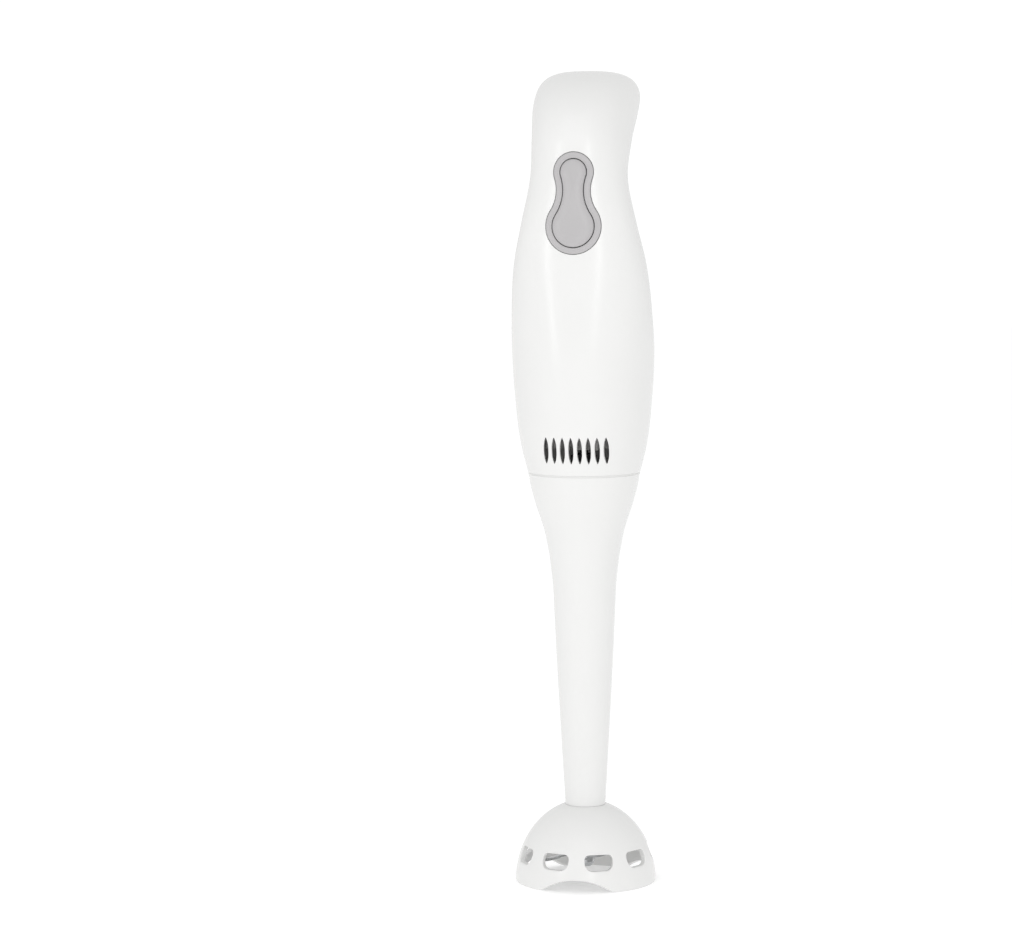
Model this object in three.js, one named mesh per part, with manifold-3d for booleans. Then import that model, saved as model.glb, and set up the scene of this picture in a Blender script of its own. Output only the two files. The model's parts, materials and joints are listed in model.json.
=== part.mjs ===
// Immersion (stick) blender, standing on its blade guard.
// Millimetres, +Z up. The origin is the centre of the guard's rim, on the surface it stands on.
// The two-speed rocker faces -Y, and the cord gland faces +Y.
import * as THREE from 'three';
import { mergeVertices } from 'three/addons/utils/BufferGeometryUtils.js';
import Module from 'manifold-3d';

const wasm = await Module();
wasm.setup();

// ---------------------------------------------------------------- driving dimensions

const TOP = 380;                    // overall height
const SEAM_Z = 193.4;               // where the handle meets the lower housing
const WALL = 2.2;                   // wall of the plastic housings
const GAP = 0.2;                    // clearance between fixed neighbours
const RUN = 0.1;                    // radial clearance round a turning shaft
const FIT = 0.15;                   // close clearance of pieces that meet or slide
const ROUND = 16;                   // sides of a small round piece
const BIG_ROUND = 28;               // sides of a large round piece

// The handle's sections: height, half width, front, rear, widest line, squareness
const HANDLE = [
  [193.4, 26.2, -26.2, 26.2, 0, 2],
  [206, 29.3, -29.3, 29.3, 0, 2],
  [220, 31.2, -31.2, 31.2, -0.4, 2.05],
  [247, 33, -33, 32.6, -1.2, 2.1],
  [272, 32.3, -33.2, 30.4, -7, 2.2],
  [291, 30.4, -33.1, 25, -12, 2.3],
  [310, 26.3, -32.6, 16, -15.5, 2.4],
  [330, 22.4, -31.5, 10.3, -13.6, 2.4],
  [347, 22.9, -30.5, 14, -2.5, 2.4],
  [361, 24.2, -30.5, 25.8, 12, 2.4],
  [370, 24.4, -30.5, 31.5, 22, 2.4],
  [380, 24.4, -30.5, 34, 26, 2.4],
];
const CROWN_Y = 13;                 // the handle's highest point
const FRONT_ROUND_Z = 345;          // where the front starts to curve back over the top
const SHOULDER_Z = 361;             // where the sides and the rear start to close

// The lower housing's outline: height and radius, from the guard up to the seam
const LOWER_TUBE = [
  [36.6, 9.4], [66, 11.1], [103, 13.1], [131, 14.4], [141, 14.9], [150, 15.9], [155, 16.5],
  [159.6, 17.4], [164.3, 18.3], [169, 19.6], [178.4, 22.7], [187, 25], [192.8, 26],
];
const COLLAR_TOP = 198;             // spigot that the handle shells close round
const SPIGOT_TOP = 52;              // spigot of the guard inside the lower housing

const GUARD_RADIUS = 33;
const GUARD_DOME = 38;              // height of the full dome, which the shaft tube cuts off
const GUARD_TOP = 36.3;
const GUARD_WALL = 2.4;
const GUARD_BOSS_RADIUS = 7.6;      // boss inside the dome that holds the seal
const NOTCHES = 3;
const NOTCH_DEPTH = 5.9;
const NOTCH_RADIUS = 27;
const WINDOWS = 9;
const WINDOW_Z = 13.7;
const WINDOW_WIDTH = 13.3;
const WINDOW_HEIGHT = 7.2;

const VENTS = 8;
const VENT_Z = 205.4;
const VENT_HEIGHT = 12.1;
const VENT_WIDTH = 2;
const VENT_PITCH = 4;

// The two-speed rocker: a small upper lobe and a large lower lobe joined by a waist
const UPPER_LOBE = { z: 333, radius: 9.25 };
const LOWER_LOBE = { z: 308.4, radius: 12.85 };
const WAIST_RADIUS = 16.6;
const BEZEL_WIDTH = 3;
const ROCKER_GAP = 0.45;
const LOBE_STEPS = 4;               // steps along each arc of the outline
const PIVOT = { y: -29.4, z: 321 };
const PIN_RADIUS = 1;
const PLUNGER_Z = [308.5, 333];     // the low and high speed switches
const RETURN_SPRING_Z = [315.3, 326.7];
const SPRING_SEAT_Y = -28.8;        // where the return springs bear on the rocker
const PLUNGER_RADIUS = 1.2;
const PLUNGER_TIP_Y = -22.7;
const SWITCH_FRONT_Y = -20.8;
const BOARD = { front: -14, back: -12.4, low: 287.5, high: 350, halfWidth: 9.5 };
const BOARD_SCREW_Z = [290.5, 347];

// Shell screws: half spacing across, height, bearing face of the head
const SHELL_SCREWS = [{ x: 21, z: 292, seat: 8 }, { x: 13.3, z: 350.5, seat: 10 }];
const SHELL_BOSS_RADIUS = 3.1;
const BOSS_FACE_Y = 1;

const GLAND_Z = 368;
const GLAND_RADIUS = 5.4;
const GLAND_BORE = 3.4;

const MOTOR_LOW = 220.5;
const MOTOR_HIGH = 276;
const MOTOR_RADIUS = 21;
const MOTOR_SCREW_X = 12;
const BRACKET_LOW = 217.5;
const BRACKET_HIGH = 220.2;
const MAGNET_LOW = 228;
const MAGNET_HIGH = 260;
const ARMATURE_RADIUS = 15;
const ARMATURE_LOW = 232;
const ARMATURE_HIGH = 256;
const COMMUTATOR_RADIUS = 7.5;
const BRUSH_Z = 267.5;
const MOTOR_SHAFT_RADIUS = 2;
const DRIVE_SHAFT_RADIUS = 2.5;
const SHAFT_JOINT_Z = 194.5;        // where the coupling joins the two shafts
const FAN_Z = 204;
const FAN_RADIUS = 20;
const BLADE_Z = 12.3;
const BLADE_REACH = 21.5;
const BLADE_THICKNESS = 1.2;
const SHAFT_END_Z = 8.5;

// ---------------------------------------------------------------- materials

const finish = (color, roughness, metalness = 0) =>
  new THREE.MeshStandardMaterial({ color, roughness, metalness });

const WHITE = finish('#f1f1ef', 0.25);
const GREY = finish('#b9b7b8', 0.45);
const PALE_GREY = finish('#d3d3d2', 0.6);
const RUBBER = finish('#3a3a3c', 0.8);
const STEEL = finish('#b7babd', 0.3, 1);
const ZINC = finish('#9c9fa3', 0.4, 1);
const BRASS = finish('#b5924c', 0.4, 1);
const COPPER = finish('#b4673c', 0.4, 1);
const CARBON = finish('#2a2a2b', 0.7);
const FERRITE = finish('#46474a', 0.75);
const BOARD_GREEN = finish('#2f6b45', 0.55);
const BLACK = finish('#242426', 0.5);
const BLUE = finish('#335f9e', 0.5);
const RED = finish('#a8322c', 0.5);

// ---------------------------------------------------------------- solids

// A closed geometry as a solid, with shared vertices merged and its faces turned outwards
function solid(geometry) {
  geometry.deleteAttribute('normal');
  geometry.deleteAttribute('uv');
  const merged = mergeVertices(geometry, 1e-4);
  const at = merged.attributes.position.array;
  const corners = [];
  let volume = 0;
  for (let i = 0; i < merged.index.count; i += 3) {
    const [a, b, c] = [0, 1, 2].map((k) => merged.index.getX(i + k));
    if (a === b || b === c || c === a) continue;
    corners.push(a, b, c);
    const [p, q, r] = [a, b, c].map((k) => new THREE.Vector3().fromArray(at, 3 * k));
    volume += p.dot(q.cross(r));
  }
  if (volume < 0) corners.reverse();
  return new wasm.Manifold(new wasm.Mesh({
    numProp: 3,
    vertProperties: new Float32Array(at),
    triVerts: new Uint32Array(corners),
  }));
}

function geometryOf(body) {
  const mesh = body.getMesh();
  const geometry = new THREE.BufferGeometry();
  const points = new Float32Array(mesh.vertProperties);
  geometry.setAttribute('position', new THREE.BufferAttribute(points, 3));
  geometry.setIndex(new THREE.BufferAttribute(new Uint32Array(mesh.triVerts), 1));
  geometry.computeVertexNormals();
  return geometry;
}

const joined = (bodies) => bodies.reduce((sum, body) => sum.add(body));

function box(size, centre) {
  return solid(new THREE.BoxGeometry(...size).translate(...centre));
}

const closedPoints = (profile) => [...profile, profile[0]].map(([r, h]) => new THREE.Vector2(r, h));

// Turned about the Z axis from a closed outline of [radius, z]
function turned(profile, sides = ROUND) {
  return solid(new THREE.LatheGeometry(closedPoints(profile), sides).rotateX(Math.PI / 2));
}

// Turned about a line along Y through (x, z) from a closed outline of [radius, y]
function turnedAlongY(profile, x, z, sides = ROUND) {
  return solid(new THREE.LatheGeometry(closedPoints(profile), sides).translate(x, 0, z));
}

const tubeProfile = (inner, outer, low, high) =>
  [[inner, low], [outer, low], [outer, high], [inner, high]];

function rodAlongY(radius, from, to, x, z, sides = ROUND) {
  const rod = new THREE.CylinderGeometry(radius, radius, to - from, sides);
  return solid(rod.translate(x, (from + to) / 2, z));
}

function rodAlongX(radius, from, to, y, z, sides = ROUND) {
  const rod = new THREE.CylinderGeometry(radius, radius, to - from, sides);
  return solid(rod.rotateZ(Math.PI / 2).translate((from + to) / 2, y, z));
}

// A flat shape in X and Z, from one depth to another along Y
function plateAlongY(shape, from, to, curveSegments = 12) {
  const options = { depth: to - from, bevelEnabled: false, curveSegments };
  const plate = new THREE.ExtrudeGeometry(shape, options);
  return solid(plate.rotateX(Math.PI / 2).translate(0, to, 0));
}

// A flat shape in X and Y, from one height to another
function plateAlongZ(shape, low, high, curveSegments = 12) {
  const options = { depth: high - low, bevelEnabled: false, curveSegments };
  const plate = new THREE.ExtrudeGeometry(shape, options);
  return solid(plate.translate(0, 0, low));
}

// A skin through rings of equally many points, closed by a fan at each end
function loft(rings) {
  const count = rings[0].length;
  const points = rings.flat();
  const corners = [];
  for (let k = 0; k + 1 < rings.length; k++) {
    for (let i = 0; i < count; i++) {
      const a = k * count + i;
      const b = k * count + (i + 1) % count;
      corners.push(a, b, b + count, a, b + count, a + count);
    }
  }
  const closeEnd = (start, flip) => {
    const middle = new THREE.Vector3();
    for (let i = 0; i < count; i++) middle.addScaledVector(points[start + i], 1 / count);
    const tip = points.push(middle) - 1;
    for (let i = 0; i < count; i++) {
      const [a, b] = [start + i, start + (i + 1) % count];
      corners.push(tip, flip ? b : a, flip ? a : b);
    }
  };
  closeEnd(0, true);
  closeEnd((rings.length - 1) * count, false);
  const geometry = new THREE.BufferGeometry().setFromPoints(points);
  geometry.setIndex(corners);
  return solid(geometry);
}

// A coil spring's wire round the Y axis line through (x, z)
function coil({ from, to, radius, wire, turns, x, z, steps }) {
  const path = new THREE.Curve();
  path.getPoint = (t, target = new THREE.Vector3()) => target.set(
    x + radius * Math.cos(2 * Math.PI * turns * t),
    from + wire + (to - from - 2 * wire) * t,
    z + radius * Math.sin(2 * Math.PI * turns * t));
  const section = new THREE.Shape().absarc(0, 0, wire, 0, 2 * Math.PI);
  return new THREE.ExtrudeGeometry(section, { steps, extrudePath: path, curveSegments: 2 });
}

// ---------------------------------------------------------------- the handle's surface

// A smooth curve through one column of the handle's sections
function alongHandle(column, z) {
  const last = HANDLE.length - 1;
  const at = Math.min(Math.max(z, HANDLE[0][0]), TOP);
  const k = Math.min(HANDLE.findLastIndex((row) => row[0] <= at), last - 1);
  const slope = (i) => {
    const [before, after] = [HANDLE[Math.max(i - 1, 0)], HANDLE[Math.min(i + 1, last)]];
    return (after[column] - before[column]) / (after[0] - before[0]);
  };
  const [start, end] = [HANDLE[k], HANDLE[k + 1]];
  const span = end[0] - start[0];
  const t = (at - start[0]) / span;
  return start[column] * (1 + 2 * t) * (1 - t) ** 2 + end[column] * t * t * (3 - 2 * t)
    + span * (slope(k) * t * (1 - t) ** 2 - slope(k + 1) * t * t * (1 - t));
}

// How far a section has closed in on the crown at a height: 1 below the start, 0 at the top
const closing = (z, start, power) =>
  (z <= start ? 1 : (1 - Math.min((z - start) / (TOP - start), 1) ** power) ** (1 / power));

function handleSection(z, inset = 0) {
  const towardsCrown = (value, factor) => CROWN_Y + (value - CROWN_Y) * factor;
  return {
    halfWidth: alongHandle(1, z) * closing(z, SHOULDER_Z, 3.3) - inset,
    front: towardsCrown(alongHandle(2, z), closing(z, FRONT_ROUND_Z, 2)) + inset,
    rear: towardsCrown(alongHandle(3, z), closing(z, SHOULDER_Z, 3.5)) - inset,
    widest: towardsCrown(alongHandle(4, z), closing(z, SHOULDER_Z, 3.5)),
    power: 2 / alongHandle(5, z),
  };
}

function handleRing(z, inset, height, sides) {
  const { halfWidth, front, rear, widest, power } = handleSection(z, inset);
  const bulge = (v) => Math.sign(v) * Math.abs(v) ** power;
  return Array.from({ length: sides }, (_, i) => {
    const angle = (2 * Math.PI * i) / sides;
    const depth = Math.sin(angle) < 0 ? widest - front : rear - widest;
    const [x, y] = [halfWidth * bulge(Math.cos(angle)), widest + depth * bulge(Math.sin(angle))];
    return new THREE.Vector3(x, y, height);
  });
}

// The front surface's y at a point beside the centre line
function frontSurface(x, z) {
  const { halfWidth, front, widest, power } = handleSection(z);
  return widest - (widest - front) * (1 - Math.abs(x / halfWidth) ** (2 / power)) ** (power / 2);
}

// The handle as a solid block, shrunk by an inset
function handleBlock(low, inset, { sides, bodyLevels, crownLevels }) {
  const rings = [];
  for (let i = 0; i <= bodyLevels; i++) {
    const z = low + ((FRONT_ROUND_Z - low) * i) / bodyLevels;
    rings.push(handleRing(z, inset, z, sides));
  }
  const reach = TOP - FRONT_ROUND_Z - (inset > 0 ? 0.5 * inset : 0.02);
  for (let i = 1; i <= crownLevels; i++) {
    const rise = reach * Math.sin((Math.PI / 2) * (i / crownLevels));
    const drop = inset > 0 ? (0.5 * inset * rise) / reach : 0;
    const height = inset === 0 && i === crownLevels ? TOP : FRONT_ROUND_Z + rise - drop;
    rings.push(handleRing(FRONT_ROUND_Z + rise, inset, height, sides));
  }
  return loft(rings);
}

// Everything in front of, or behind, the line where the two handle shells part
function partingBlock(side) {
  const FAR = 90;
  const LEVELS = 10;
  const outline = [new THREE.Vector2(side * FAR, SEAM_Z - 10)];
  for (let i = 0; i <= LEVELS; i++) {
    const z = SEAM_Z + ((TOP - SEAM_Z) * i) / LEVELS;
    const y = handleSection(z).widest + (side * GAP) / 2;
    if (i === 0) outline.push(new THREE.Vector2(y, SEAM_Z - 10));
    outline.push(new THREE.Vector2(y, z));
    if (i === LEVELS) outline.push(new THREE.Vector2(y, TOP + 10));
  }
  outline.push(new THREE.Vector2(side * FAR, TOP + 10));
  const options = { depth: 2 * FAR, bevelEnabled: false };
  const block = new THREE.ExtrudeGeometry(new THREE.Shape(outline), options);
  const sideways = new THREE.Matrix4().makeBasis(
    new THREE.Vector3(0, 1, 0), new THREE.Vector3(0, 0, 1), new THREE.Vector3(1, 0, 0));
  return solid(block.applyMatrix4(sideways).translate(-FAR, 0, 0));
}

// ---------------------------------------------------------------- the rocker's outline

// The two-lobed outline in X and Z, shrunk by an inset
function lobedOutline(inset) {
  const { z: upperZ, radius: upper } = UPPER_LOBE;
  const { z: lowerZ, radius: lower } = LOWER_LOBE;
  const between = upperZ - lowerZ;
  const [lowReach, highReach] = [lower + WAIST_RADIUS, upper + WAIST_RADIUS];
  const rise = (lowReach ** 2 - highReach ** 2 + between ** 2) / (2 * between);
  const waistX = Math.sqrt(lowReach ** 2 - rise ** 2);
  const waistZ = lowerZ + rise;
  const lowAngle = Math.atan2(rise, waistX);
  const highAngle = Math.atan2(waistZ - upperZ, waistX);
  const shape = new THREE.Shape();
  shape.absarc(0, lowerZ, lower - inset, Math.PI - lowAngle, 2 * Math.PI + lowAngle, false);
  shape.absarc(waistX, waistZ, WAIST_RADIUS + inset, Math.PI + lowAngle, Math.PI + highAngle, true);
  shape.absarc(0, upperZ, upper - inset, highAngle, Math.PI - highAngle, false);
  shape.absarc(-waistX, waistZ, WAIST_RADIUS + inset, -highAngle, -lowAngle, true);
  return shape;
}

// A body with the lobed outline whose rings follow the handle's front surface: [inset, height above it]
function lobedBody(steps, curveSegments = LOBE_STEPS) {
  return loft(steps.map(([inset, height]) => {
    const outline = mergedOutline(lobedOutline(inset).getPoints(curveSegments));
    return outline.map(({ x, y: z }) => new THREE.Vector3(x, frontSurface(x, z) - height, z));
  }));
}

// An outline's points without the repeats where its arcs join
function mergedOutline(points) {
  return points.filter((point, i) => point.distanceTo(points.at(i - 1)) > 1e-3);
}

// ---------------------------------------------------------------- housings

function shellBosses(front) {
  const bodies = [];
  for (const { x, z } of SHELL_SCREWS) {
    for (const side of [-1, 1]) {
      const [from, to] = front ? [-40, BOSS_FACE_Y] : [BOSS_FACE_Y + GAP, 40];
      bodies.push(rodAlongY(SHELL_BOSS_RADIUS + (front ? 0 : 1.3), from, to, side * x, z, 16));
    }
  }
  return bodies;
}

function frontShell(outer, inner, bossLimit) {
  let shell = outer.subtract(inner).intersect(partingBlock(-1));
  const posts = BOARD_SCREW_Z.map((z) => rodAlongY(2.6, -40, BOARD.front - GAP, 0, z, 16));
  shell = shell.add(joined([...shellBosses(true), ...posts]).intersect(bossLimit));
  shell = shell.subtract(plateAlongY(lobedOutline(-0.05), -50, -20, LOBE_STEPS));
  for (const { x, z } of SHELL_SCREWS) {
    for (const side of [-1, 1]) shell = shell.subtract(rodAlongY(1.5, -14, 5, side * x, z, 12));
  }
  for (const z of BOARD_SCREW_Z) shell = shell.subtract(rodAlongY(1.1, -21, -5, 0, z, 12));
  return shell.subtract(joined(vents()));
}

// Upright leaf-shaped air slots
function vents() {
  return Array.from({ length: VENTS }, (_, i) => {
    const x = (i - (VENTS - 1) / 2) * VENT_PITCH;
    const [low, high] = [VENT_Z - VENT_HEIGHT / 2, VENT_Z + VENT_HEIGHT / 2];
    const slot = new THREE.Shape().moveTo(x, low);
    slot.bezierCurveTo(x + VENT_WIDTH * 0.67, low + 1.5, x + VENT_WIDTH * 0.67, high - 1.5, x, high);
    slot.bezierCurveTo(x - VENT_WIDTH * 0.67, high - 1.5, x - VENT_WIDTH * 0.67, low + 1.5, x, low);
    return plateAlongY(slot, -45, -23, 3);
  });
}

function rearShell(outer, inner, bossLimit) {
  let shell = outer.subtract(inner).intersect(partingBlock(1));
  shell = shell.add(joined(shellBosses(false)).intersect(bossLimit));
  for (const { x, z, seat } of SHELL_SCREWS) {
    for (const side of [-1, 1]) {
      shell = shell.subtract(rodAlongY(1.5, -5, seat + 1, side * x, z, 12));
      shell = shell.subtract(rodAlongY(3.2, seat, 50, side * x, z, 16));
    }
  }
  return shell.subtract(rodAlongY(GLAND_RADIUS + GAP, 24, 50, 0, GLAND_Z));
}

function lowerHousing() {
  const outside = LOWER_TUBE.map(([z, radius]) => [radius, z]);
  return turned([
    ...outside, [23.5, 192.8], [23.5, COLLAR_TOP], [21.5, COLLAR_TOP], [21.5, 184],
    [17.3, 169], [15.2, 159.6], [13.7, 152], [5.2, 152], [5.2, 147], [12.9, 147],
    [10.8, 100], [8.5, 54], [7.4, 54], [7.4, 36.6],
  ], BIG_ROUND);
}

const domeRadius = (z, radius, height) => radius * Math.sqrt(1 - (z / height) ** 2);

function bladeGuard() {
  const STEPS = 5;
  const outside = [];
  const inside = [];
  const innerRadius = GUARD_RADIUS - GUARD_WALL;
  const innerDome = GUARD_DOME - GUARD_WALL - 0.2;
  const bossTop = innerDome * Math.sqrt(1 - (GUARD_BOSS_RADIUS / innerRadius) ** 2);
  for (let i = 0; i <= STEPS; i++) {
    const share = Math.sin((Math.PI / 2) * (i / STEPS));
    outside.push([domeRadius(share * GUARD_TOP, GUARD_RADIUS, GUARD_DOME), share * GUARD_TOP]);
    inside.unshift([domeRadius(share * bossTop, innerRadius, innerDome), share * bossTop]);
  }
  let guard = turned([
    ...outside, [7.2, GUARD_TOP], [7.2, SPIGOT_TOP], [5.2, SPIGOT_TOP], [5.2, 31], [3.4, 31],
    [3.4, 28.4], [5.6, 28.4], [5.6, 23], [GUARD_BOSS_RADIUS, 23], ...inside,
  ], 36);
  const window = windowShape();
  for (let i = 0; i < WINDOWS; i++) {
    const options = { depth: 22, bevelEnabled: false, curveSegments: 1 };
    const cutter = new THREE.ExtrudeGeometry(window, options);
    cutter.rotateX(Math.PI / 2).translate(0, -16, 0).rotateZ((2 * Math.PI * (i + 0.5)) / WINDOWS);
    guard = guard.subtract(solid(cutter));
  }
  for (let i = 0; i < NOTCHES; i++) {
    const SIDES = 40;
    const cutter = new THREE.CylinderGeometry(NOTCH_RADIUS, NOTCH_RADIUS, 30, SIDES);
    cutter.rotateY(Math.PI / SIDES).translate(0, -32, NOTCH_DEPTH - NOTCH_RADIUS);
    cutter.rotateZ((2 * Math.PI * i) / NOTCHES);
    guard = guard.subtract(solid(cutter));
  }
  return guard;
}

// A window with a flat top and a deeper rounded bottom
function windowShape() {
  const half = WINDOW_WIDTH / 2;
  const [low, high] = [WINDOW_Z - WINDOW_HEIGHT / 2, WINDOW_Z + WINDOW_HEIGHT / 2];
  const shape = new THREE.Shape();
  shape.absarc(half - 3.6, low + 3.6, 3.6, -Math.PI / 2, 0, false);
  shape.absarc(half - 2.4, high - 2.4, 2.4, 0, Math.PI / 2, false);
  shape.absarc(2.4 - half, high - 2.4, 2.4, Math.PI / 2, Math.PI, false);
  shape.absarc(3.6 - half, low + 3.6, 3.6, Math.PI, 1.5 * Math.PI, false);
  return shape;
}

function cordGland() {
  const FACE_Y = 33;
  return turnedAlongY([
    [GLAND_BORE, 20.8], [6.4, 20.8], [6.4, 22.8], [GLAND_RADIUS, 22.8], [GLAND_RADIUS, FACE_Y - 0.8],
    [GLAND_RADIUS - 0.8, FACE_Y], [GLAND_BORE + 0.6, FACE_Y], [GLAND_BORE, FACE_Y - 0.6],
  ], 0, GLAND_Z, 20);
}

function shellScrew({ x, z, seat }, side) {
  return turnedAlongY([
    [0, seat - 22], [1.3, seat - 20.5], [1.3, seat + GAP], [2.7, seat + GAP], [2.7, seat + 1.4],
    [1.8, seat + 2.2], [0, seat + 2.2],
  ], side * x, z, 12);
}

function boardScrew(z) {
  const seat = BOARD.back + GAP;
  return turnedAlongY([
    [0, -19.5], [1, -18.5], [1, seat], [2.2, seat], [2.2, seat + 1.2], [1.4, seat + 1.8], [0, seat + 1.8],
  ], 0, z, 12);
}

// ---------------------------------------------------------------- the two-speed switch

function buttonBezel() {
  const BACK = -26.4;
  const flange = plateAlongY(lobedOutline(-1.6), BACK, BACK + 1.4, LOBE_STEPS);
  const body = lobedBody([[FIT, -3], [FIT, 0.15], [0.6, 0.4], [1.4, 0.45]])
    .add(plateAlongY(lobedOutline(FIT), -31, BACK + 0.5, LOBE_STEPS));
  const pin = rodAlongX(PIN_RADIUS + 0.06, -7.1, 7.1, PIVOT.y, PIVOT.z, 16);
  const opening = plateAlongY(lobedOutline(BEZEL_WIDTH), -50, -10, LOBE_STEPS);
  return body.add(flange).subtract(opening).subtract(pin);
}

function rockerButton() {
  const edge = BEZEL_WIDTH + ROCKER_GAP;
  const cap = lobedBody([
    [edge, -2.2], [edge, 0.5], [edge + 0.4, 1.1], [edge + 1.2, 1.6], [edge + 2.4, 1.9], [edge + 3.6, 2],
  ]);
  const hub = box([6.4, 5, 5], [0, PIVOT.y + 0.6, PIVOT.z]);
  const feet = PLUNGER_Z.map((z) => rodAlongY(1.8, -31.5, PLUNGER_TIP_Y - FIT, 0, z, 12));
  const bore = rodAlongX(PIN_RADIUS + FIT, -8, 8, PIVOT.y, PIVOT.z, 16);
  return joined([cap, hub, ...feet]).subtract(bore);
}

const rockerPin = () => rodAlongX(PIN_RADIUS, -7, 7, PIVOT.y, PIVOT.z, 16);

function returnSpring(z) {
  const size = { radius: 1.4, wire: 0.25, turns: 5, steps: 40 };
  return solid(coil({ ...size, from: SPRING_SEAT_Y, to: BOARD.front - GAP, x: 0, z }));
}

function switchBody(z) {
  const body = box([9, 6.6, 6.4], [0, SWITCH_FRONT_Y + 3.3, z]);
  const guide = rodAlongY(PLUNGER_RADIUS + FIT, SWITCH_FRONT_Y - 1, SWITCH_FRONT_Y + 3, 0, z, 12);
  return body.subtract(guide);
}

const switchPlunger = (z) => rodAlongY(PLUNGER_RADIUS, PLUNGER_TIP_Y, PLUNGER_TIP_Y + 3.4, 0, z, 12);

function switchBoard() {
  const { front, back, low, high, halfWidth } = BOARD;
  let board = box([2 * halfWidth, back - front, high - low], [0, (front + back) / 2, (low + high) / 2]);
  for (const z of BOARD_SCREW_Z) board = board.subtract(rodAlongY(1.2, front - 1, back + 1, 0, z, 12));
  return board;
}

function capacitor() {
  return box([13, 6.6, 17], [0, BOARD.back + GAP + 3.3, 331]);
}

function rectifier() {
  const shape = new THREE.Shape();
  shape.moveTo(-7, 300);
  shape.lineTo(7, 300);
  shape.lineTo(7, 308);
  shape.lineTo(5, 310);
  shape.lineTo(-7, 310);
  return plateAlongY(shape, BOARD.back + GAP, BOARD.back + GAP + 4.2);
}

function speedDiode() {
  return rodAlongX(2.4, -4.5, 4.5, BOARD.back + GAP + 2.4, 315.5, 12);
}

function motorLead(side) {
  const route = new THREE.CatmullRomCurve3([
    new THREE.Vector3(side * 6.5, -10.6, 297),
    new THREE.Vector3(side * 7.5, -9.8, 290),
    new THREE.Vector3(side * 11, -6.5, 283.5),
    new THREE.Vector3(side * 13, -4, 279.8),
  ]);
  const section = new THREE.Shape().absarc(0, 0, 1, 0, 2 * Math.PI);
  return solid(new THREE.ExtrudeGeometry(section, { steps: 10, extrudePath: route, curveSegments: 3 }));
}

// ---------------------------------------------------------------- the motor

function motorCan() {
  const inside = MOTOR_RADIUS - 1;
  const floor = MOTOR_LOW + 1.4;
  const can = turned([
    [4.2, MOTOR_LOW], [inside, MOTOR_LOW], [MOTOR_RADIUS, MOTOR_LOW + 1], [MOTOR_RADIUS, MOTOR_HIGH],
    [inside, MOTOR_HIGH], [inside, floor], [4.2, floor],
  ], BIG_ROUND);
  return can.subtract(joined([-1, 1].map((side) => motorScrewHole(side))));
}

function motorScrewHole(side) {
  const hole = turned(tubeProfile(0, 1.45, MOTOR_LOW - 10, MOTOR_LOW + 10), 12);
  return hole.translate([side * MOTOR_SCREW_X, 0, 0]);
}

function motorScrew(side) {
  const seat = BRACKET_LOW - GAP;
  const tip = MOTOR_LOW + 2.6;
  const screw = turned([
    [0, seat - 1.8], [2.5, seat - 1.8], [2.5, seat], [1.3, seat], [1.3, tip], [0, tip],
  ], 12);
  return screw.translate([side * MOTOR_SCREW_X, 0, 0]);
}

function magnet(side) {
  const half = 1.2;
  const middle = side > 0 ? 0 : Math.PI;
  const shape = new THREE.Shape();
  shape.absarc(0, 0, MOTOR_RADIUS - 1.2, middle - half, middle + half, false);
  shape.absarc(0, 0, ARMATURE_RADIUS + 0.8, middle + half, middle - half, true);
  return plateAlongZ(shape, MAGNET_LOW, MAGNET_HIGH, 9);
}

function motorEndCap() {
  let cap = turned([
    [4.2, 276.2], [MOTOR_RADIUS, 276.2], [MOTOR_RADIUS, 279.2], [7, 279.2], [7, 284], [4.2, 284],
  ], BIG_ROUND);
  for (const side of [-1, 1]) {
    const holder = box([9.6, 8, 14], [side * 14.4, 0, 269.8]);
    const channel = box([8.4, 5.4, 6.4], [side * 13.4, 0, BRUSH_Z]);
    cap = cap.add(holder).subtract(channel);
  }
  return cap;
}

const brush = (side) => box([6, 5, 6], [side * (COMMUTATOR_RADIUS + 0.25 + 3), 0, BRUSH_Z]);

function brushSpring(side) {
  const size = { radius: 1.7, wire: 0.25, turns: 2.5, steps: 20 };
  const spring = coil({ ...size, from: 13.95, to: 17.45, x: 0, z: 0 });
  return solid(spring.rotateZ(-side * Math.PI / 2).translate(0, 0, BRUSH_Z));
}

function armatureCore() {
  const TEETH = 10;
  const pitch = (2 * Math.PI) / TEETH;
  const shape = new THREE.Shape();
  for (let i = 0; i < TEETH; i++) {
    const middle = i * pitch;
    for (const [radius, share] of [[8, -0.5], [8, -0.2], [13.4, -0.2], [ARMATURE_RADIUS, -0.44],
      [ARMATURE_RADIUS, -0.15], [ARMATURE_RADIUS, 0.15], [ARMATURE_RADIUS, 0.44], [13.4, 0.2], [8, 0.2]]) {
      const angle = middle + share * pitch;
      const [x, y] = [radius * Math.cos(angle), radius * Math.sin(angle)];
      if (i === 0 && share === -0.5) shape.moveTo(x, y);
      else shape.lineTo(x, y);
    }
  }
  shape.holes.push(new THREE.Path().absarc(0, 0, MOTOR_SHAFT_RADIUS + FIT, 0, 2 * Math.PI));
  return plateAlongZ(shape, ARMATURE_LOW, ARMATURE_HIGH);
}

// The end turns of the winding, a rounded ring against one end of the core
function windingEnd(low) {
  return turned([[4, low], [13, low], [13.8, low + 1.2], [13.8, low + 2.8], [13, low + 4], [4, low + 4]]);
}

function commutator() {
  return turned([
    [MOTOR_SHAFT_RADIUS + FIT, 262.6], [8.4, 262.6], [8.4, 263.6], [COMMUTATOR_RADIUS, 263.6],
    [COMMUTATOR_RADIUS, 272], [MOTOR_SHAFT_RADIUS + FIT, 272],
  ]);
}

const motorShaft = () => turned(tubeProfile(0, MOTOR_SHAFT_RADIUS, SHAFT_JOINT_Z + 0.5, 286));

function motorBush(low, high) {
  return turned(tubeProfile(MOTOR_SHAFT_RADIUS + RUN, 4, low, high));
}

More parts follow.
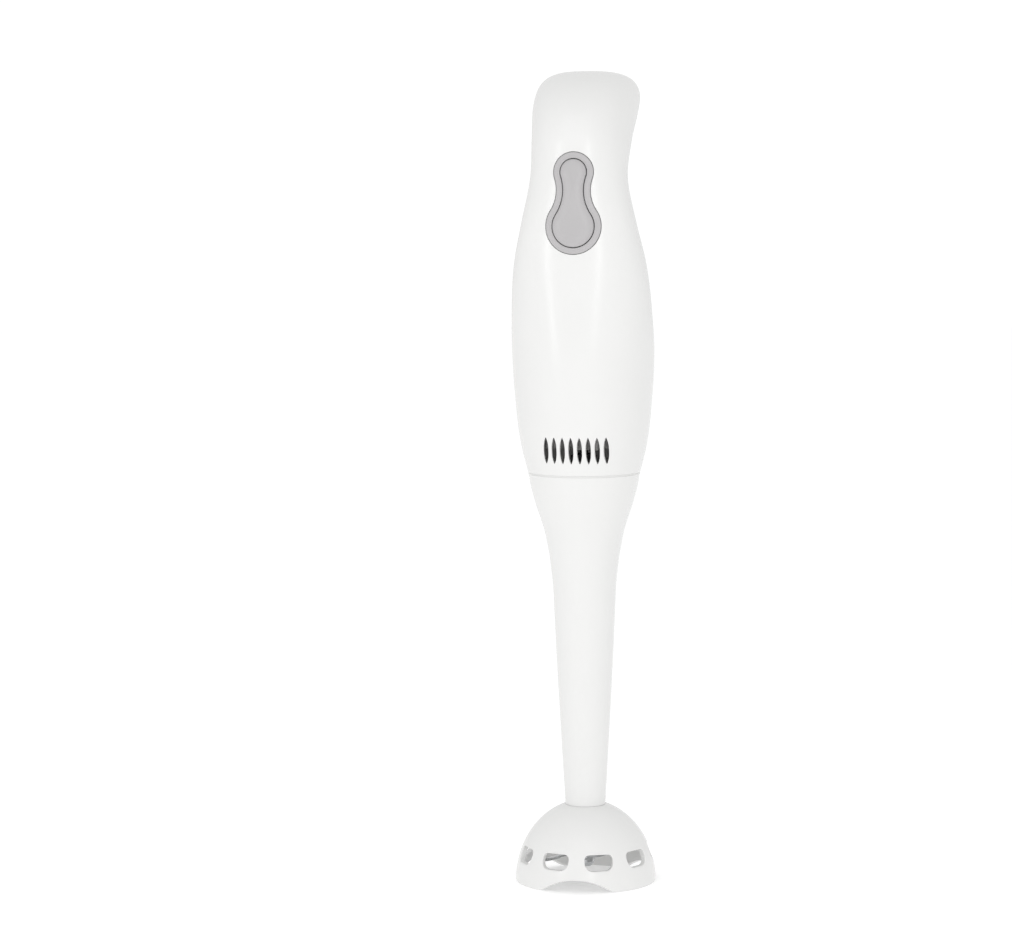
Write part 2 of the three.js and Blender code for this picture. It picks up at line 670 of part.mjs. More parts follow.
function motorBracket() {
  const plate = turned([
    [8, BRACKET_LOW], [28, BRACKET_LOW], [28, BRACKET_HIGH], [26.3, BRACKET_HIGH], [26.3, 231], [24.3, 231],
    [24.3, BRACKET_HIGH], [8, BRACKET_HIGH],
  ], BIG_ROUND);
  return plate.subtract(joined([-1, 1].map((side) => motorScrewHole(side))));
}

const damper = (outer, low, high) => turned(tubeProfile(MOTOR_RADIUS + GAP, outer, low, high), BIG_ROUND);

function coolingFan() {
  const BLADES = 9;
  const hub = turned([
    [MOTOR_SHAFT_RADIUS + FIT, FAN_Z], [5, FAN_Z], [5, FAN_Z + 8], [FAN_RADIUS, FAN_Z + 8],
    [FAN_RADIUS, FAN_Z + 9.2], [MOTOR_SHAFT_RADIUS + FIT, FAN_Z + 9.2],
  ]);
  const bodies = [hub];
  for (let i = 0; i < BLADES; i++) {
    const blade = new THREE.Shape().moveTo(4.5, 0);
    blade.quadraticCurveTo(12, 0.5, 19.3, 5);
    blade.lineTo(18.7, 6);
    blade.quadraticCurveTo(12, 1.8, 4.4, 1.2);
    bodies.push(plateAlongZ(blade, FAN_Z + 1, FAN_Z + 8.4, 4).rotate([0, 0, (360 * i) / BLADES]));
  }
  return joined(bodies);
}

// ---------------------------------------------------------------- the drive and the blade

function coupling() {
  const [driveBore, motorBore] = [DRIVE_SHAFT_RADIUS, MOTOR_SHAFT_RADIUS].map((radius) => radius + FIT);
  return turned([
    [driveBore, 186], [5.2, 186], [6, 187], [6, 201], [5.2, 202], [motorBore, 202],
    [motorBore, SHAFT_JOINT_Z], [driveBore, SHAFT_JOINT_Z],
  ]);
}

const driveShaft = () => turned(tubeProfile(0, DRIVE_SHAFT_RADIUS, SHAFT_END_Z, SHAFT_JOINT_Z - 0.5));

function upperShaftBush() {
  const bore = DRIVE_SHAFT_RADIUS + RUN;
  return turned([[bore, 145], [5, 145], [5, 152.2], [6.6, 152.2], [6.6, 154], [bore, 154]]);
}

const lowerShaftBush = () => turned(tubeProfile(DRIVE_SHAFT_RADIUS + RUN, 5, 31.2, 46));
const shaftSeal = () => turned([[2.75, 23.2], [5.4, 23.2], [5.4, 28.2], [2.75, 28.2], [2.6, 25.7]]);
const thrustWasher = () => turned(tubeProfile(DRIVE_SHAFT_RADIUS + FIT, 4.8, 21.6, 22.9));

function bladeSpacer() {
  const bore = DRIVE_SHAFT_RADIUS + FIT;
  return turned([[bore, 13.1], [5.2, 13.1], [5.2, 14.3], [4, 16], [4, 21.4], [bore, 21.4]]);
}

// One wing: a flat root, then a tapering arm with a ground leading edge, bent up or down
function bladeWing(rise) {
  const half = BLADE_THICKNESS / 2;
  const stations = [
    { x: 0, lead: 5.5, trail: -5.5, up: 0 },
    { x: 6.5, lead: 5.5, trail: -5.2, up: 0 },
    { x: 14, lead: 5.2, trail: -2.6, up: 0.55 },
    { x: BLADE_REACH, lead: 3, trail: -0.4, up: 1 },
  ];
  return loft(stations.map(({ x, lead, trail, up }) => {
    const z = BLADE_Z + up * rise;
    const ground = x > 6 ? 2.2 : 0.4;
    const edge = x > 6 ? 0.12 : half;
    const section = [
      [trail, -half], [lead - ground, -half], [lead, -edge],
      [lead, edge], [lead - ground, half], [trail, half],
    ];
    return section.map(([y, dz]) => new THREE.Vector3(x, y, z + dz));
  }));
}

function blade() {
  const RISE = 4;
  const body = bladeWing(RISE).add(bladeWing(-RISE).rotate([0, 0, 180]));
  return body.subtract(turned(tubeProfile(0, DRIVE_SHAFT_RADIUS + FIT, 0, 30)));
}

function bladeCap() {
  return turned([
    [0, 6.6], [2.6, 6.8], [4, 8], [4.4, 9.4], [4.4, 11.5], [DRIVE_SHAFT_RADIUS + FIT, 11.5],
    [DRIVE_SHAFT_RADIUS + FIT, SHAFT_END_Z - GAP], [0, SHAFT_END_Z - GAP],
  ]);
}

// ---------------------------------------------------------------- assembly

const group = new THREE.Group();

function place(name, body, material) {
  const mesh = new THREE.Mesh(geometryOf(body), material);
  mesh.name = name;
  group.add(mesh);
}

const SIDES = [['left', -1], ['right', 1]];
const FINE = { sides: 32, bodyLevels: 11, crownLevels: 8 };
const COARSE = { sides: 24, bodyLevels: 11, crownLevels: 5 };
const outer = handleBlock(SEAM_Z + GAP, 0, FINE);
const inner = handleBlock(SEAM_Z - 3, WALL, COARSE);
const bossLimit = handleBlock(SEAM_Z + GAP, 1, COARSE);

place('front_shell', frontShell(outer, inner, bossLimit), WHITE);
place('rear_shell', rearShell(outer, inner, bossLimit), WHITE);
place('lower_housing', lowerHousing(), WHITE);
place('blade_guard', bladeGuard(), WHITE);
place('housing_seal', turned(tubeProfile(23.9, 25.6, SEAM_Z - 0.45, SEAM_Z), BIG_ROUND), PALE_GREY);
place('cord_gland', cordGland(), GREY);
SHELL_SCREWS.forEach((screw, row) => {
  for (const [word, side] of SIDES) {
    place(`shell_screw_${row === 0 ? 'lower' : 'upper'}_${word}`, shellScrew(screw, side), ZINC);
  }
});

place('button_bezel', buttonBezel(), GREY);
place('rocker_button', rockerButton(), GREY);
place('rocker_pin', rockerPin(), STEEL);
['low', 'high'].forEach((speed, i) => {
  place(`return_spring_${speed}`, returnSpring(RETURN_SPRING_Z[i]), STEEL);
  place(`switch_${speed}`, switchBody(PLUNGER_Z[i]), BLACK);
  place(`plunger_${speed}`, switchPlunger(PLUNGER_Z[i]), RED);
  place(`board_screw_${speed === 'low' ? 'lower' : 'upper'}`, boardScrew(BOARD_SCREW_Z[i]), ZINC);
});
place('switch_board', switchBoard(), BOARD_GREEN);
place('suppression_capacitor', capacitor(), BLUE);
place('bridge_rectifier', rectifier(), BLACK);
place('speed_diode', speedDiode(), BLACK);

place('motor_can', motorCan(), ZINC);
place('motor_end_cap', motorEndCap(), BLACK);
for (const [word, side] of SIDES) {
  place(`magnet_${word}`, magnet(side), FERRITE);
  place(`brush_${word}`, brush(side), CARBON);
  place(`brush_spring_${word}`, brushSpring(side), BRASS);
  place(`motor_screw_${word}`, motorScrew(side), ZINC);
  place(`motor_lead_${word}`, motorLead(side), side < 0 ? RED : BLUE);
}
place('armature_core', armatureCore(), STEEL);
place('winding_lower', windingEnd(ARMATURE_LOW - GAP - 4), COPPER);
place('winding_upper', windingEnd(ARMATURE_HIGH + GAP), COPPER);
place('commutator', commutator(), COPPER);
place('motor_shaft', motorShaft(), STEEL);
place('motor_bush_lower', motorBush(218.6, 225.5), BRASS);
place('motor_bush_upper', motorBush(277, 283.6), BRASS);
place('motor_bracket', motorBracket(), PALE_GREY);
place('motor_damper_lower', damper(24.1, 222.5, 230), RUBBER);
place('motor_damper_upper', damper(27.4, 264, 271), RUBBER);
place('cooling_fan', coolingFan(), BLACK);

place('coupling', coupling(), RUBBER);
place('drive_shaft', driveShaft(), STEEL);
place('shaft_bush_upper', upperShaftBush(), BRASS);
place('shaft_bush_lower', lowerShaftBush(), BRASS);
place('shaft_seal', shaftSeal(), RUBBER);
place('thrust_washer', thrustWasher(), STEEL);
place('blade_spacer', bladeSpacer(), STEEL);
place('blade', blade(), STEEL);
place('blade_cap', bladeCap(), STEEL);

export default group;
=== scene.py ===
import json
import math

import bmesh
import bpy
import numpy as np
from mathutils import Matrix, Vector


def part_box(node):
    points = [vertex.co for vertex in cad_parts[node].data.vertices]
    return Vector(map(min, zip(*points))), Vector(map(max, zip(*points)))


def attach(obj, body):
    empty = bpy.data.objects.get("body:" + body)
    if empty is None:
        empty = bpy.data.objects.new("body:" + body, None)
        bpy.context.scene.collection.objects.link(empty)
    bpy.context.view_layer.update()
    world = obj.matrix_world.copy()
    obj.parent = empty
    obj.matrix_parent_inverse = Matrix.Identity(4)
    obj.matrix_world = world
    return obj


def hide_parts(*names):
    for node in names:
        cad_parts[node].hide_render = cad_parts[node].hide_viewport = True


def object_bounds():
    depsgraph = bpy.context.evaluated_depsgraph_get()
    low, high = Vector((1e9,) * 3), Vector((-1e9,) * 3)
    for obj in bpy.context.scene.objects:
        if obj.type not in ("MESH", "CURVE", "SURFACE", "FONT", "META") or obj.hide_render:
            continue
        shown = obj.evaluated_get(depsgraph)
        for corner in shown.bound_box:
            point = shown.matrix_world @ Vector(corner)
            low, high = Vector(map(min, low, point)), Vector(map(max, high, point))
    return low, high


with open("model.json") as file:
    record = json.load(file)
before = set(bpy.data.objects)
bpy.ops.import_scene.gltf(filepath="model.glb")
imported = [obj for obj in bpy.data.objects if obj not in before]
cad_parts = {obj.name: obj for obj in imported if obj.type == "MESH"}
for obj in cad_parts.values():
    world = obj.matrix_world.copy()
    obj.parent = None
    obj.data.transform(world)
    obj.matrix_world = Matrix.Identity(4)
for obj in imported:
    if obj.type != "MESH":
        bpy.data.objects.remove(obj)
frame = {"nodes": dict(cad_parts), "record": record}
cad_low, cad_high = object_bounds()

# Lengths are millimetres up to to_object(), which makes metres of them. +Z is up and -Y is the front.
MM = 0.001

scene = bpy.context.scene


def corners(node):
    """A CAD node's lowest and highest corner in millimetres."""
    low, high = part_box(node)
    return np.array(low) / MM, np.array(high) / MM


# ---------------------------------------------------------------- camera

OBJECT_HEIGHT = cad_high.z - cad_low.z
CAMERA_DISTANCE = 3.99 * OBJECT_HEIGHT
CAMERA_HEIGHT = 0.863 * OBJECT_HEIGHT
CAMERA_AZIMUTH = 8.2                # degrees from the front towards +X
CAMERA_PITCH = 5.085
CAMERA_TURN = 1.382                 # the object stands to the right of the middle
CAMERA_ROLL = -0.35
CAMERA_LENS = 115.7                 # millimetres, on a sensor 36 mm wide


def make_camera():
    camera = bpy.data.objects.new("camera", bpy.data.cameras.new("camera"))
    scene.collection.objects.link(camera)
    scene.camera = camera
    camera.data.sensor_width = 36
    camera.data.lens = CAMERA_LENS
    camera.data.clip_start = 0.05
    camera.data.clip_end = 30
    azimuth = math.radians(CAMERA_AZIMUTH)
    camera.location = (math.sin(azimuth) * CAMERA_DISTANCE, -math.cos(azimuth) * CAMERA_DISTANCE,
                       cad_low.z + CAMERA_HEIGHT)
    heading = Matrix.Rotation(math.radians(CAMERA_AZIMUTH + CAMERA_TURN), 4, "Z")
    tilt = Matrix.Rotation(math.radians(90 - CAMERA_PITCH), 4, "X")
    roll = Matrix.Rotation(math.radians(CAMERA_ROLL), 4, "Z")
    camera.rotation_euler = (heading @ tilt @ roll).to_euler()


make_camera()

# ---------------------------------------------------------------- materials


def material_nodes(name):
    material = bpy.data.materials.new(name)
    material.use_nodes = True
    tree = material.node_tree
    return material, tree, tree.nodes["Principled BSDF"]


def noise(tree, scale, detail=2.0, stretch=(1, 1, 1)):
    """A noise pattern fixed to the object, stretched along its axes."""
    place = tree.nodes.new("ShaderNodeTexCoord")
    mapping = tree.nodes.new("ShaderNodeMapping")
    mapping.inputs["Scale"].default_value = stretch
    pattern = tree.nodes.new("ShaderNodeTexNoise")
    pattern.inputs["Scale"].default_value = scale
    pattern.inputs["Detail"].default_value = detail
    tree.links.new(place.outputs["Object"], mapping.inputs["Vector"])
    tree.links.new(mapping.outputs["Vector"], pattern.inputs["Vector"])
    return pattern


def spread(tree, source, low, high, start=0.3, end=0.7):
    """A pattern's value mapped to a range."""
    span = tree.nodes.new("ShaderNodeMapRange")
    span.inputs["From Min"].default_value = start
    span.inputs["From Max"].default_value = end
    span.inputs["To Min"].default_value = low
    span.inputs["To Max"].default_value = high
    tree.links.new(source, span.inputs["Value"])
    return span.outputs["Result"]


def shades(tree, source, dark, light, start=0.35, end=0.65):
    """A pattern's value as a colour between two shades."""
    ramp = tree.nodes.new("ShaderNodeValToRGB")
    ramp.color_ramp.elements[0].position = start
    ramp.color_ramp.elements[0].color = (*dark, 1)
    ramp.color_ramp.elements[1].position = end
    ramp.color_ramp.elements[1].color = (*light, 1)
    tree.links.new(source, ramp.inputs["Fac"])
    return ramp.outputs["Color"]


def bump(tree, shader, source, distance):
    """Raises the surface by a distance in millimetres where the source is bright."""
    node = tree.nodes.new("ShaderNodeBump")
    node.inputs["Strength"].default_value = 1
    node.inputs["Distance"].default_value = distance * MM
    tree.links.new(source, node.inputs["Height"])
    tree.links.new(node.outputs["Normal"], shader.inputs["Normal"])


def moulded(name, color, roughness, mottle, grain, depth, specular=0.5):
    """Moulded plastic or rubber: faint mottling, uneven gloss and a fine grain."""
    material, tree, shader = material_nodes(name)
    clouds = noise(tree, 45, 3)
    light = [min(c * (1 + mottle), 1) for c in color]
    dark = [c * (1 - mottle) for c in color]
    tree.links.new(shades(tree, clouds.outputs["Fac"], dark, light), shader.inputs["Base Color"])
    patches = noise(tree, 160, 4)
    gloss = spread(tree, patches.outputs["Fac"], roughness * 0.9, roughness * 1.12)
    tree.links.new(gloss, shader.inputs["Roughness"])
    bump(tree, shader, noise(tree, 1 / (grain * MM), 3).outputs["Fac"], depth)
    shader.inputs["Specular IOR Level"].default_value = specular
    return material


def ground_metal(name, color, roughness, scratch, stretch, depth):
    """Bare metal with fine marks drawn out along the directions where stretch is small."""
    material, tree, shader = material_nodes(name)
    shader.inputs["Metallic"].default_value = 1
    marks = noise(tree, 1 / (scratch * MM), 4, stretch)
    light = [min(c * 1.08, 1) for c in color]
    dark = [c * 0.86 for c in color]
    tree.links.new(shades(tree, marks.outputs["Fac"], dark, light), shader.inputs["Base Color"])
    stains = noise(tree, 120, 3)
    tree.links.new(spread(tree, stains.outputs["Fac"], roughness * 0.8, roughness * 1.25),
                   shader.inputs["Roughness"])
    bump(tree, shader, marks.outputs["Fac"], depth)
    return material


def wound_wire(name, color, wire):
    """Enamelled wire laid side by side in rings round the shaft."""
    material, tree, shader = material_nodes(name)
    shader.inputs["Metallic"].default_value = 0.9
    place = tree.nodes.new("ShaderNodeTexCoord")
    turns = tree.nodes.new("ShaderNodeTexWave")
    turns.wave_type = "RINGS"
    turns.rings_direction = "Z"
    turns.inputs["Scale"].default_value = 0.16 / (wire * MM)
    turns.inputs["Distortion"].default_value = 1.5
    tree.links.new(place.outputs["Object"], turns.inputs["Vector"])
    # The colour darkens into the grooves between the turns: this is painted shade, where the
    # neighbouring turns shade each other.
    dark = [c * 0.45 for c in color]
    strands = shades(tree, turns.outputs["Fac"], dark, color, 0.1, 0.7)
    tree.links.new(strands, shader.inputs["Base Color"])
    gloss = noise(tree, 400, 3)
    tree.links.new(spread(tree, gloss.outputs["Fac"], 0.25, 0.45), shader.inputs["Roughness"])
    bump(tree, shader, turns.outputs["Fac"], 0.15)
    return material


def circuit_board(name, color):
    """Lacquered board with the paler copper tracks showing through."""
    material, tree, shader = material_nodes(name)
    place = tree.nodes.new("ShaderNodeTexCoord")
    tracks = tree.nodes.new("ShaderNodeTexBrick")
    tracks.inputs["Scale"].default_value = 90
    tracks.inputs["Mortar Size"].default_value = 0.06
    tracks.inputs["Color1"].default_value = (*color, 1)
    tracks.inputs["Color2"].default_value = (*[c * 1.25 for c in color], 1)
    tracks.inputs["Mortar"].default_value = (*[min(c * 2.2, 1) for c in color], 1)
    tree.links.new(place.outputs["Object"], tracks.inputs["Vector"])
    tree.links.new(tracks.outputs["Color"], shader.inputs["Base Color"])
    weave = noise(tree, 900, 2, (1, 0.2, 1))
    tree.links.new(spread(tree, weave.outputs["Fac"], 0.3, 0.5), shader.inputs["Roughness"])
    bump(tree, shader, tracks.outputs["Fac"], 0.035)
    return material


STEEL_TONE = (0.56, 0.57, 0.58)
MATERIALS = {
    "white_plastic": moulded("white_plastic", (0.765, 0.765, 0.757), 0.24, 0.004, 1.4, 0.0008, 0.5),
    "grey_plastic": moulded("grey_plastic", (0.455, 0.445, 0.45), 0.34, 0.02, 0.22, 0.006, 0.4),
    "pale_plastic": moulded("pale_plastic", (0.72, 0.72, 0.71), 0.5, 0.015, 0.3, 0.004),
    "black_plastic": moulded("black_plastic", (0.035, 0.035, 0.038), 0.42, 0.1, 0.25, 0.006),
    "rubber": moulded("rubber", (0.045, 0.045, 0.05), 0.75, 0.12, 0.35, 0.012, 0.3),
    "blue_plastic": moulded("blue_plastic", (0.04, 0.12, 0.36), 0.38, 0.05, 0.3, 0.004),
    "red_plastic": moulded("red_plastic", (0.42, 0.035, 0.03), 0.4, 0.06, 0.3, 0.004),
    "carbon": moulded("carbon", (0.03, 0.03, 0.031), 0.55, 0.25, 0.12, 0.012),
    "ferrite": moulded("ferrite", (0.07, 0.07, 0.075), 0.6, 0.2, 0.15, 0.015),
    "steel": ground_metal("steel", STEEL_TONE, 0.24, 0.35, (1, 0.06, 1), 0.0018),
    "zinc": ground_metal("zinc", (0.50, 0.52, 0.54), 0.32, 1.2, (1, 1, 1), 0.004),
    "bronze": ground_metal("bronze", (0.52, 0.36, 0.16), 0.42, 0.18, (1, 1, 1), 0.006),
    "copper": wound_wire("copper", (0.62, 0.26, 0.12), 0.5),
    "board": circuit_board("board", (0.03, 0.16, 0.06)),
}

# ---------------------------------------------------------------- mesh building


def to_object(name, points, faces):
    """A mesh object with doubled points merged and its faces turned outwards."""
    mesh = bpy.data.meshes.new(name)
    mesh.from_pydata((np.asarray(points) * MM).tolist(), [], [list(map(int, face)) for face in faces])
    work = bmesh.new()
    work.from_mesh(mesh)
    bmesh.ops.remove_doubles(work, verts=work.verts, dist=2e-6)
    bmesh.ops.recalc_face_normals(work, faces=work.faces)
    if work.calc_volume(signed=True) < 0:
        bmesh.ops.reverse_faces(work, faces=work.faces)
    work.to_mesh(mesh)
    work.free()
    piece = bpy.data.objects.new(name, mesh)
    scene.collection.objects.link(piece)
    return piece


def strips(rings, wrap_rings=False):
    """Points and quads of a skin through rings; wrap_rings joins the last ring to the first."""
    rings = np.asarray(rings, float)
    index = np.arange(rings.shape[0] * rings.shape[1]).reshape(rings.shape[:2])
    if wrap_rings:
        index = np.vstack([index, index[:1]])
    ahead = np.roll(index, -1, axis=1)
    quads = np.stack([index[:-1], ahead[:-1], ahead[1:], index[1:]], axis=-1).reshape(-1, 4)
    return rings.reshape(-1, 3), quads.tolist()


def capped(rings):
    """A skin through rings, with a fan over each end."""
    points, faces = strips(rings)
    rings = np.asarray(rings, float)
    count = rings.shape[1]
    for start, ring in ((0, rings[0]), ((len(rings) - 1) * count, rings[-1])):
        tip = len(points)
        points = np.vstack([points, ring.mean(axis=0)])
        faces += [[tip, start + i, start + (i + 1) % count] for i in range(count)]
    return points, faces


def together(parts):
    """Several point and face lists as one."""
    points = np.vstack([part[0] for part in parts])
    faces, start = [], 0
    for part_points, part_faces in parts:
        faces += [[start + i for i in face] for face in part_faces]
        start += len(part_points)
    return points, faces


def turned(profile, sides=128, centre=(0, 0, 0), axis="Z"):
    """A closed outline of [radius, place along the axis], turned about a line through centre."""
    outline = np.array(profile, float)
    angle = np.arange(sides) * 2 * math.pi / sides
    radius, along = outline[:, 0][:, None], outline[:, 1][:, None] * np.ones(sides)
    wide = radius * np.cos(angle)
    deep = radius * np.sin(angle)
    parts = {"Z": (wide, deep, along), "Y": (wide, along, deep)}[axis]
    return strips(np.stack(parts, axis=-1) + np.array(centre, float), wrap_rings=True)


def rounded(profile, radii, steps=5):
    """A closed outline with each corner replaced by an arc of its own radius."""
    made = []
    for i, (corner, radius) in enumerate(zip(profile, radii)):
        here = np.array(corner, float)
        before = np.array(profile[i - 1], float)
        after = np.array(profile[(i + 1) % len(profile)], float)
        if radius == 0:
            made.append(here)
            continue
        to_before, to_after = before - here, after - here
        to_before /= np.linalg.norm(to_before)
        to_after /= np.linalg.norm(to_after)
        half = math.acos(np.clip(to_before @ to_after, -1, 1)) / 2
        reach = radius / math.tan(half)
        inward = to_before + to_after
        middle = here + inward / np.linalg.norm(inward) * radius / math.sin(half)
        first, last = here + to_before * reach - middle, here + to_after * reach - middle
        sweep = math.acos(np.clip(first @ last / radius**2, -1, 1))
        for k in range(steps + 1):
            share = k / steps
            arm = math.sin((1 - share) * sweep) * first + math.sin(share * sweep) * last
            made.append(middle + arm / math.sin(sweep))
    return made


def combine(target, tools, operation):
    """Cuts the tools away from the target, or joins or keeps what they share, and removes the tools."""
    for tool in tools:
        modifier = target.modifiers.new("combine", "BOOLEAN")
        modifier.object = tool
        modifier.operation = operation
        modifier.solver = "MANIFOLD"
    graph = bpy.context.evaluated_depsgraph_get()
    mesh = bpy.data.meshes.new_from_object(target.evaluated_get(graph))
    target.modifiers.clear()
    target.data = mesh
    for tool in tools:
        bpy.data.objects.remove(tool)
    return target


def dress(piece, slot, body, *nodes, crease=38):
    """Gives a finished piece its material, shading and body, and hides the CAD nodes that it stands
    for.
    """
    piece.data.materials.clear()
    piece.data.materials.append(MATERIALS[slot])
    piece.data.shade_smooth()
    piece.data.set_sharp_from_angle(angle=math.radians(crease))
    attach(piece, body)
    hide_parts(*nodes)
    return piece


# ---------------------------------------------------------------- the handle's surface

TOP = cad_high.z / MM
HANDLE_LOW = corners("front_shell")[0][2]
WALL = 2.2
GAP = 0.2                           # clearance between fixed neighbours
LIP = 0.35                          # radius of the moulded edges
GUARD_TOP = 36.3                    # where the shaft housing stands on the blade guard
SEAM_LIP = 0.1                      # radius of the edges where the housings meet

# Sections: height, half width, front, rear, widest line, squareness
HANDLE = np.array([
    [193.4, 26.2, -26.2, 26.2, 0, 2],
    [206, 29.3, -29.3, 29.3, 0, 2],
    [220, 31.2, -31.2, 31.2, -0.4, 2.05],
    [247, 33, -33, 32.6, -1.2, 2.1],
    [272, 32.3, -33.2, 30.4, -7, 2.2],
    [291, 30.4, -33.1, 25, -12, 2.3],
    [310, 26.3, -32.6, 16, -15.5, 2.4],
    [330, 22.4, -31.5, 10.3, -13.6, 2.4],
    [347, 22.9, -30.5, 14, -2.5, 2.4],
    [361, 24.2, -30.5, 25.8, 12, 2.4],
    [370, 24.4, -30.5, 31.5, 22, 2.4],
    [380, 24.4, -30.5, 34, 26, 2.4],
])
CROWN_Y = 13                        # the handle's highest point
FRONT_ROUND_Z = 345                 # where the front starts to curve back over the top
SHOULDER_Z = 361                    # where the sides and the rear start to close


def along(table, column, z):
    """A smooth curve through one column of a table whose first column is the height."""
    heights, values = table[:, 0], table[:, column]
    slopes = np.gradient(values, heights)
    slopes[1:-1] = (values[2:] - values[:-2]) / (heights[2:] - heights[:-2])
    at = np.clip(z, heights[0], heights[-1])
    k = np.clip(np.searchsorted(heights, at, side="right") - 1, 0, len(table) - 2)
    span = heights[k + 1] - heights[k]
    t = (at - heights[k]) / span
    return (values[k] * (1 + 2 * t) * (1 - t) ** 2 + values[k + 1] * t * t * (3 - 2 * t)
            + span * (slopes[k] * t * (1 - t) ** 2 - slopes[k + 1] * t * t * (1 - t)))


def closing(z, start, power):
    """How far a section has closed in on the crown: 1 below the start, 0 at the top."""
    share = np.clip((np.asarray(z, float) - start) / (TOP - start), 0, 1)
    return (1 - share**power) ** (1 / power)


def handle_section(z, inset=0.0):
    """Half width, front, rear, widest line and bulge power at a height."""
    back = closing(z, SHOULDER_Z, 3.5)
    half = along(HANDLE, 1, z) * closing(z, SHOULDER_Z, 3.3) - inset
    front = CROWN_Y + (along(HANDLE, 2, z) - CROWN_Y) * closing(z, FRONT_ROUND_Z, 2) + inset
    rear = CROWN_Y + (along(HANDLE, 3, z) - CROWN_Y) * back - inset
    widest = CROWN_Y + (along(HANDLE, 4, z) - CROWN_Y) * back
    return half, front, rear, widest, 2 / along(HANDLE, 5, z)


def handle_ring(z, inset, height, sides):
    half, front, rear, widest, power = handle_section(z, inset)
    angle = np.arange(sides) * 2 * math.pi / sides
    wide = np.sign(np.cos(angle)) * np.abs(np.cos(angle)) ** power
    deep = np.sign(np.sin(angle)) * np.abs(np.sin(angle)) ** power
    y = widest + np.where(deep < 0, widest - front, rear - widest) * deep
    return np.stack([half * wide, y, np.full(sides, height)], axis=-1)


def surface_y(x, z, side):
    """The handle's front (side -1) or rear (side 1) surface beside the centre line."""
    half, front, rear, widest, power = handle_section(z)
    bulge = np.clip(1 - np.abs(x / half) ** (2 / power), 0, 1) ** (power / 2)
    return widest + bulge * np.where(side < 0, front - widest, rear - widest)


def handle_field(points):
    """1 on the handle's outside surface, less inside it and more beyond it."""
    half, front, rear, widest, power = handle_section(points[:, 2])
    depth = np.where(points[:, 1] < widest, widest - front, rear - widest)
    order = 2 / power
    across = np.abs(points[:, 0]) / half
    deep = np.abs(points[:, 1] - widest) / depth
    return (across**order + deep**order) ** (1 / order)


def handle_normals(points):
    """The outside surface's normals at points on or near it."""
    step = 0.02
    slope = [handle_field(points + step * axis) - handle_field(points - step * axis)
             for axis in np.eye(3)]
    normals = np.stack(slope, axis=-1)
    return normals / np.linalg.norm(normals, axis=1)[:, None]


def handle_block(low, inset, sides, body_levels, crown_levels, lip=0.0):
    """The handle as a solid, shrunk by an inset, with a rounded lower edge."""
    rings = []
    if lip:
        for k in range(5):
            turn = math.pi / 2 * k / 5
            height = low + lip * (1 - math.cos(turn))
            rings.append(handle_ring(height, lip * (1 - math.sin(turn)), height, sides))
        low += lip
    for z in np.linspace(low, FRONT_ROUND_Z, body_levels + 1):
        rings.append(handle_ring(z, inset, z, sides))
    rise = TOP - FRONT_ROUND_Z - (0.5 * inset if inset else 0.002)
    for k in range(1, crown_levels + 1):
        z = FRONT_ROUND_Z + rise * math.sin(math.pi / 2 * k / crown_levels)
        drop = 0.5 * inset * (z - FRONT_ROUND_Z) / rise
        top = TOP if k == crown_levels and not inset else z - drop
        rings.append(handle_ring(z, inset, top, sides))
    return capped(rings)


# ---------------------------------------------------------------- outlines on the handle

UPPER_LOBE = (333, 9.25)            # height and radius
LOWER_LOBE = (308.4, 12.85)
WAIST_RADIUS = 16.6
BEZEL_WIDTH = 3
ROCKER_GAP = 0.32                   # what the rocker needs round it to tip
FEET = (308.5, 333)                 # heights of the feet that press the plungers


def arc(centre, radius, start, end, steps):
    angle = np.linspace(start, end, steps + 1)
    return np.stack([centre[0] + radius * np.cos(angle), centre[1] + radius * np.sin(angle)], axis=-1)


def lobed_outline(inset, steps=10):
    """The rocker's two-lobed outline in X and Z, shrunk by an inset, from its lowest point round."""
    (upper_z, upper), (lower_z, lower) = UPPER_LOBE, LOWER_LOBE
    between = upper_z - lower_z
    low_reach, high_reach = lower + WAIST_RADIUS, upper + WAIST_RADIUS
    rise = (low_reach**2 - high_reach**2 + between**2) / (2 * between)
    waist_x = math.sqrt(low_reach**2 - rise**2)
    waist_z = lower_z + rise
    low_angle = math.atan2(rise, waist_x)
    high_angle = math.atan2(waist_z - upper_z, waist_x)
    right = np.vstack([
        arc((0, lower_z), lower - inset, -math.pi / 2, low_angle, 2 * steps)[:-1],
        arc((waist_x, waist_z), WAIST_RADIUS + inset, math.pi + low_angle, math.pi + high_angle,
            steps)[:-1],
        arc((0, upper_z), upper - inset, high_angle, math.pi / 2, 2 * steps),
    ])
    left = right[1:-1][::-1] * [-1, 1]
    return np.vstack([right, left])


def circle_outline(x, z, radius, sides=48):
    def outline(inset):
        return arc((x, z), radius - inset, 0, 2 * math.pi, sides)[:-1]
    return outline


VENTS = 8
VENT_PITCH = 4
VENT_Z = 205.4
VENT_HEIGHT = 12.1
VENT_WIDTH = 2


def vent_outline(x):
    """An upright leaf shape, pointed at both ends."""
    def outline(inset):
        share = np.linspace(-1, 1, 17)
        reach = VENT_HEIGHT / 2 - inset
        bulge = (VENT_WIDTH / 2 - inset) * (1 - np.abs(share) ** 2.6) + 0.16
        right = np.stack([x + bulge, VENT_Z + reach * share], axis=-1)
        left = np.stack([x - bulge, VENT_Z + reach * share], axis=-1)[::-1]
        return np.vstack([right, left])
    return outline


LIP_TURNS = (22, 38, 56, 73, 90)    # degrees round a lip, from the surface into the hole


def lip_steps(lip, above):
    """Steps of [offset, height] from above the surface, along a flare and round a lip into a hole."""
    first = math.radians(LIP_TURNS[0])
    spill = lip * (1 - math.sin(first)) + (lip * (1 - math.cos(first)) + 0.15) / math.tan(first)
    steps = [(spill, above), (spill, 0.15)]
    for turn in map(math.radians, LIP_TURNS):
        steps.append((lip * (1 - math.sin(turn)), -lip * (1 - math.cos(turn))))
    return steps


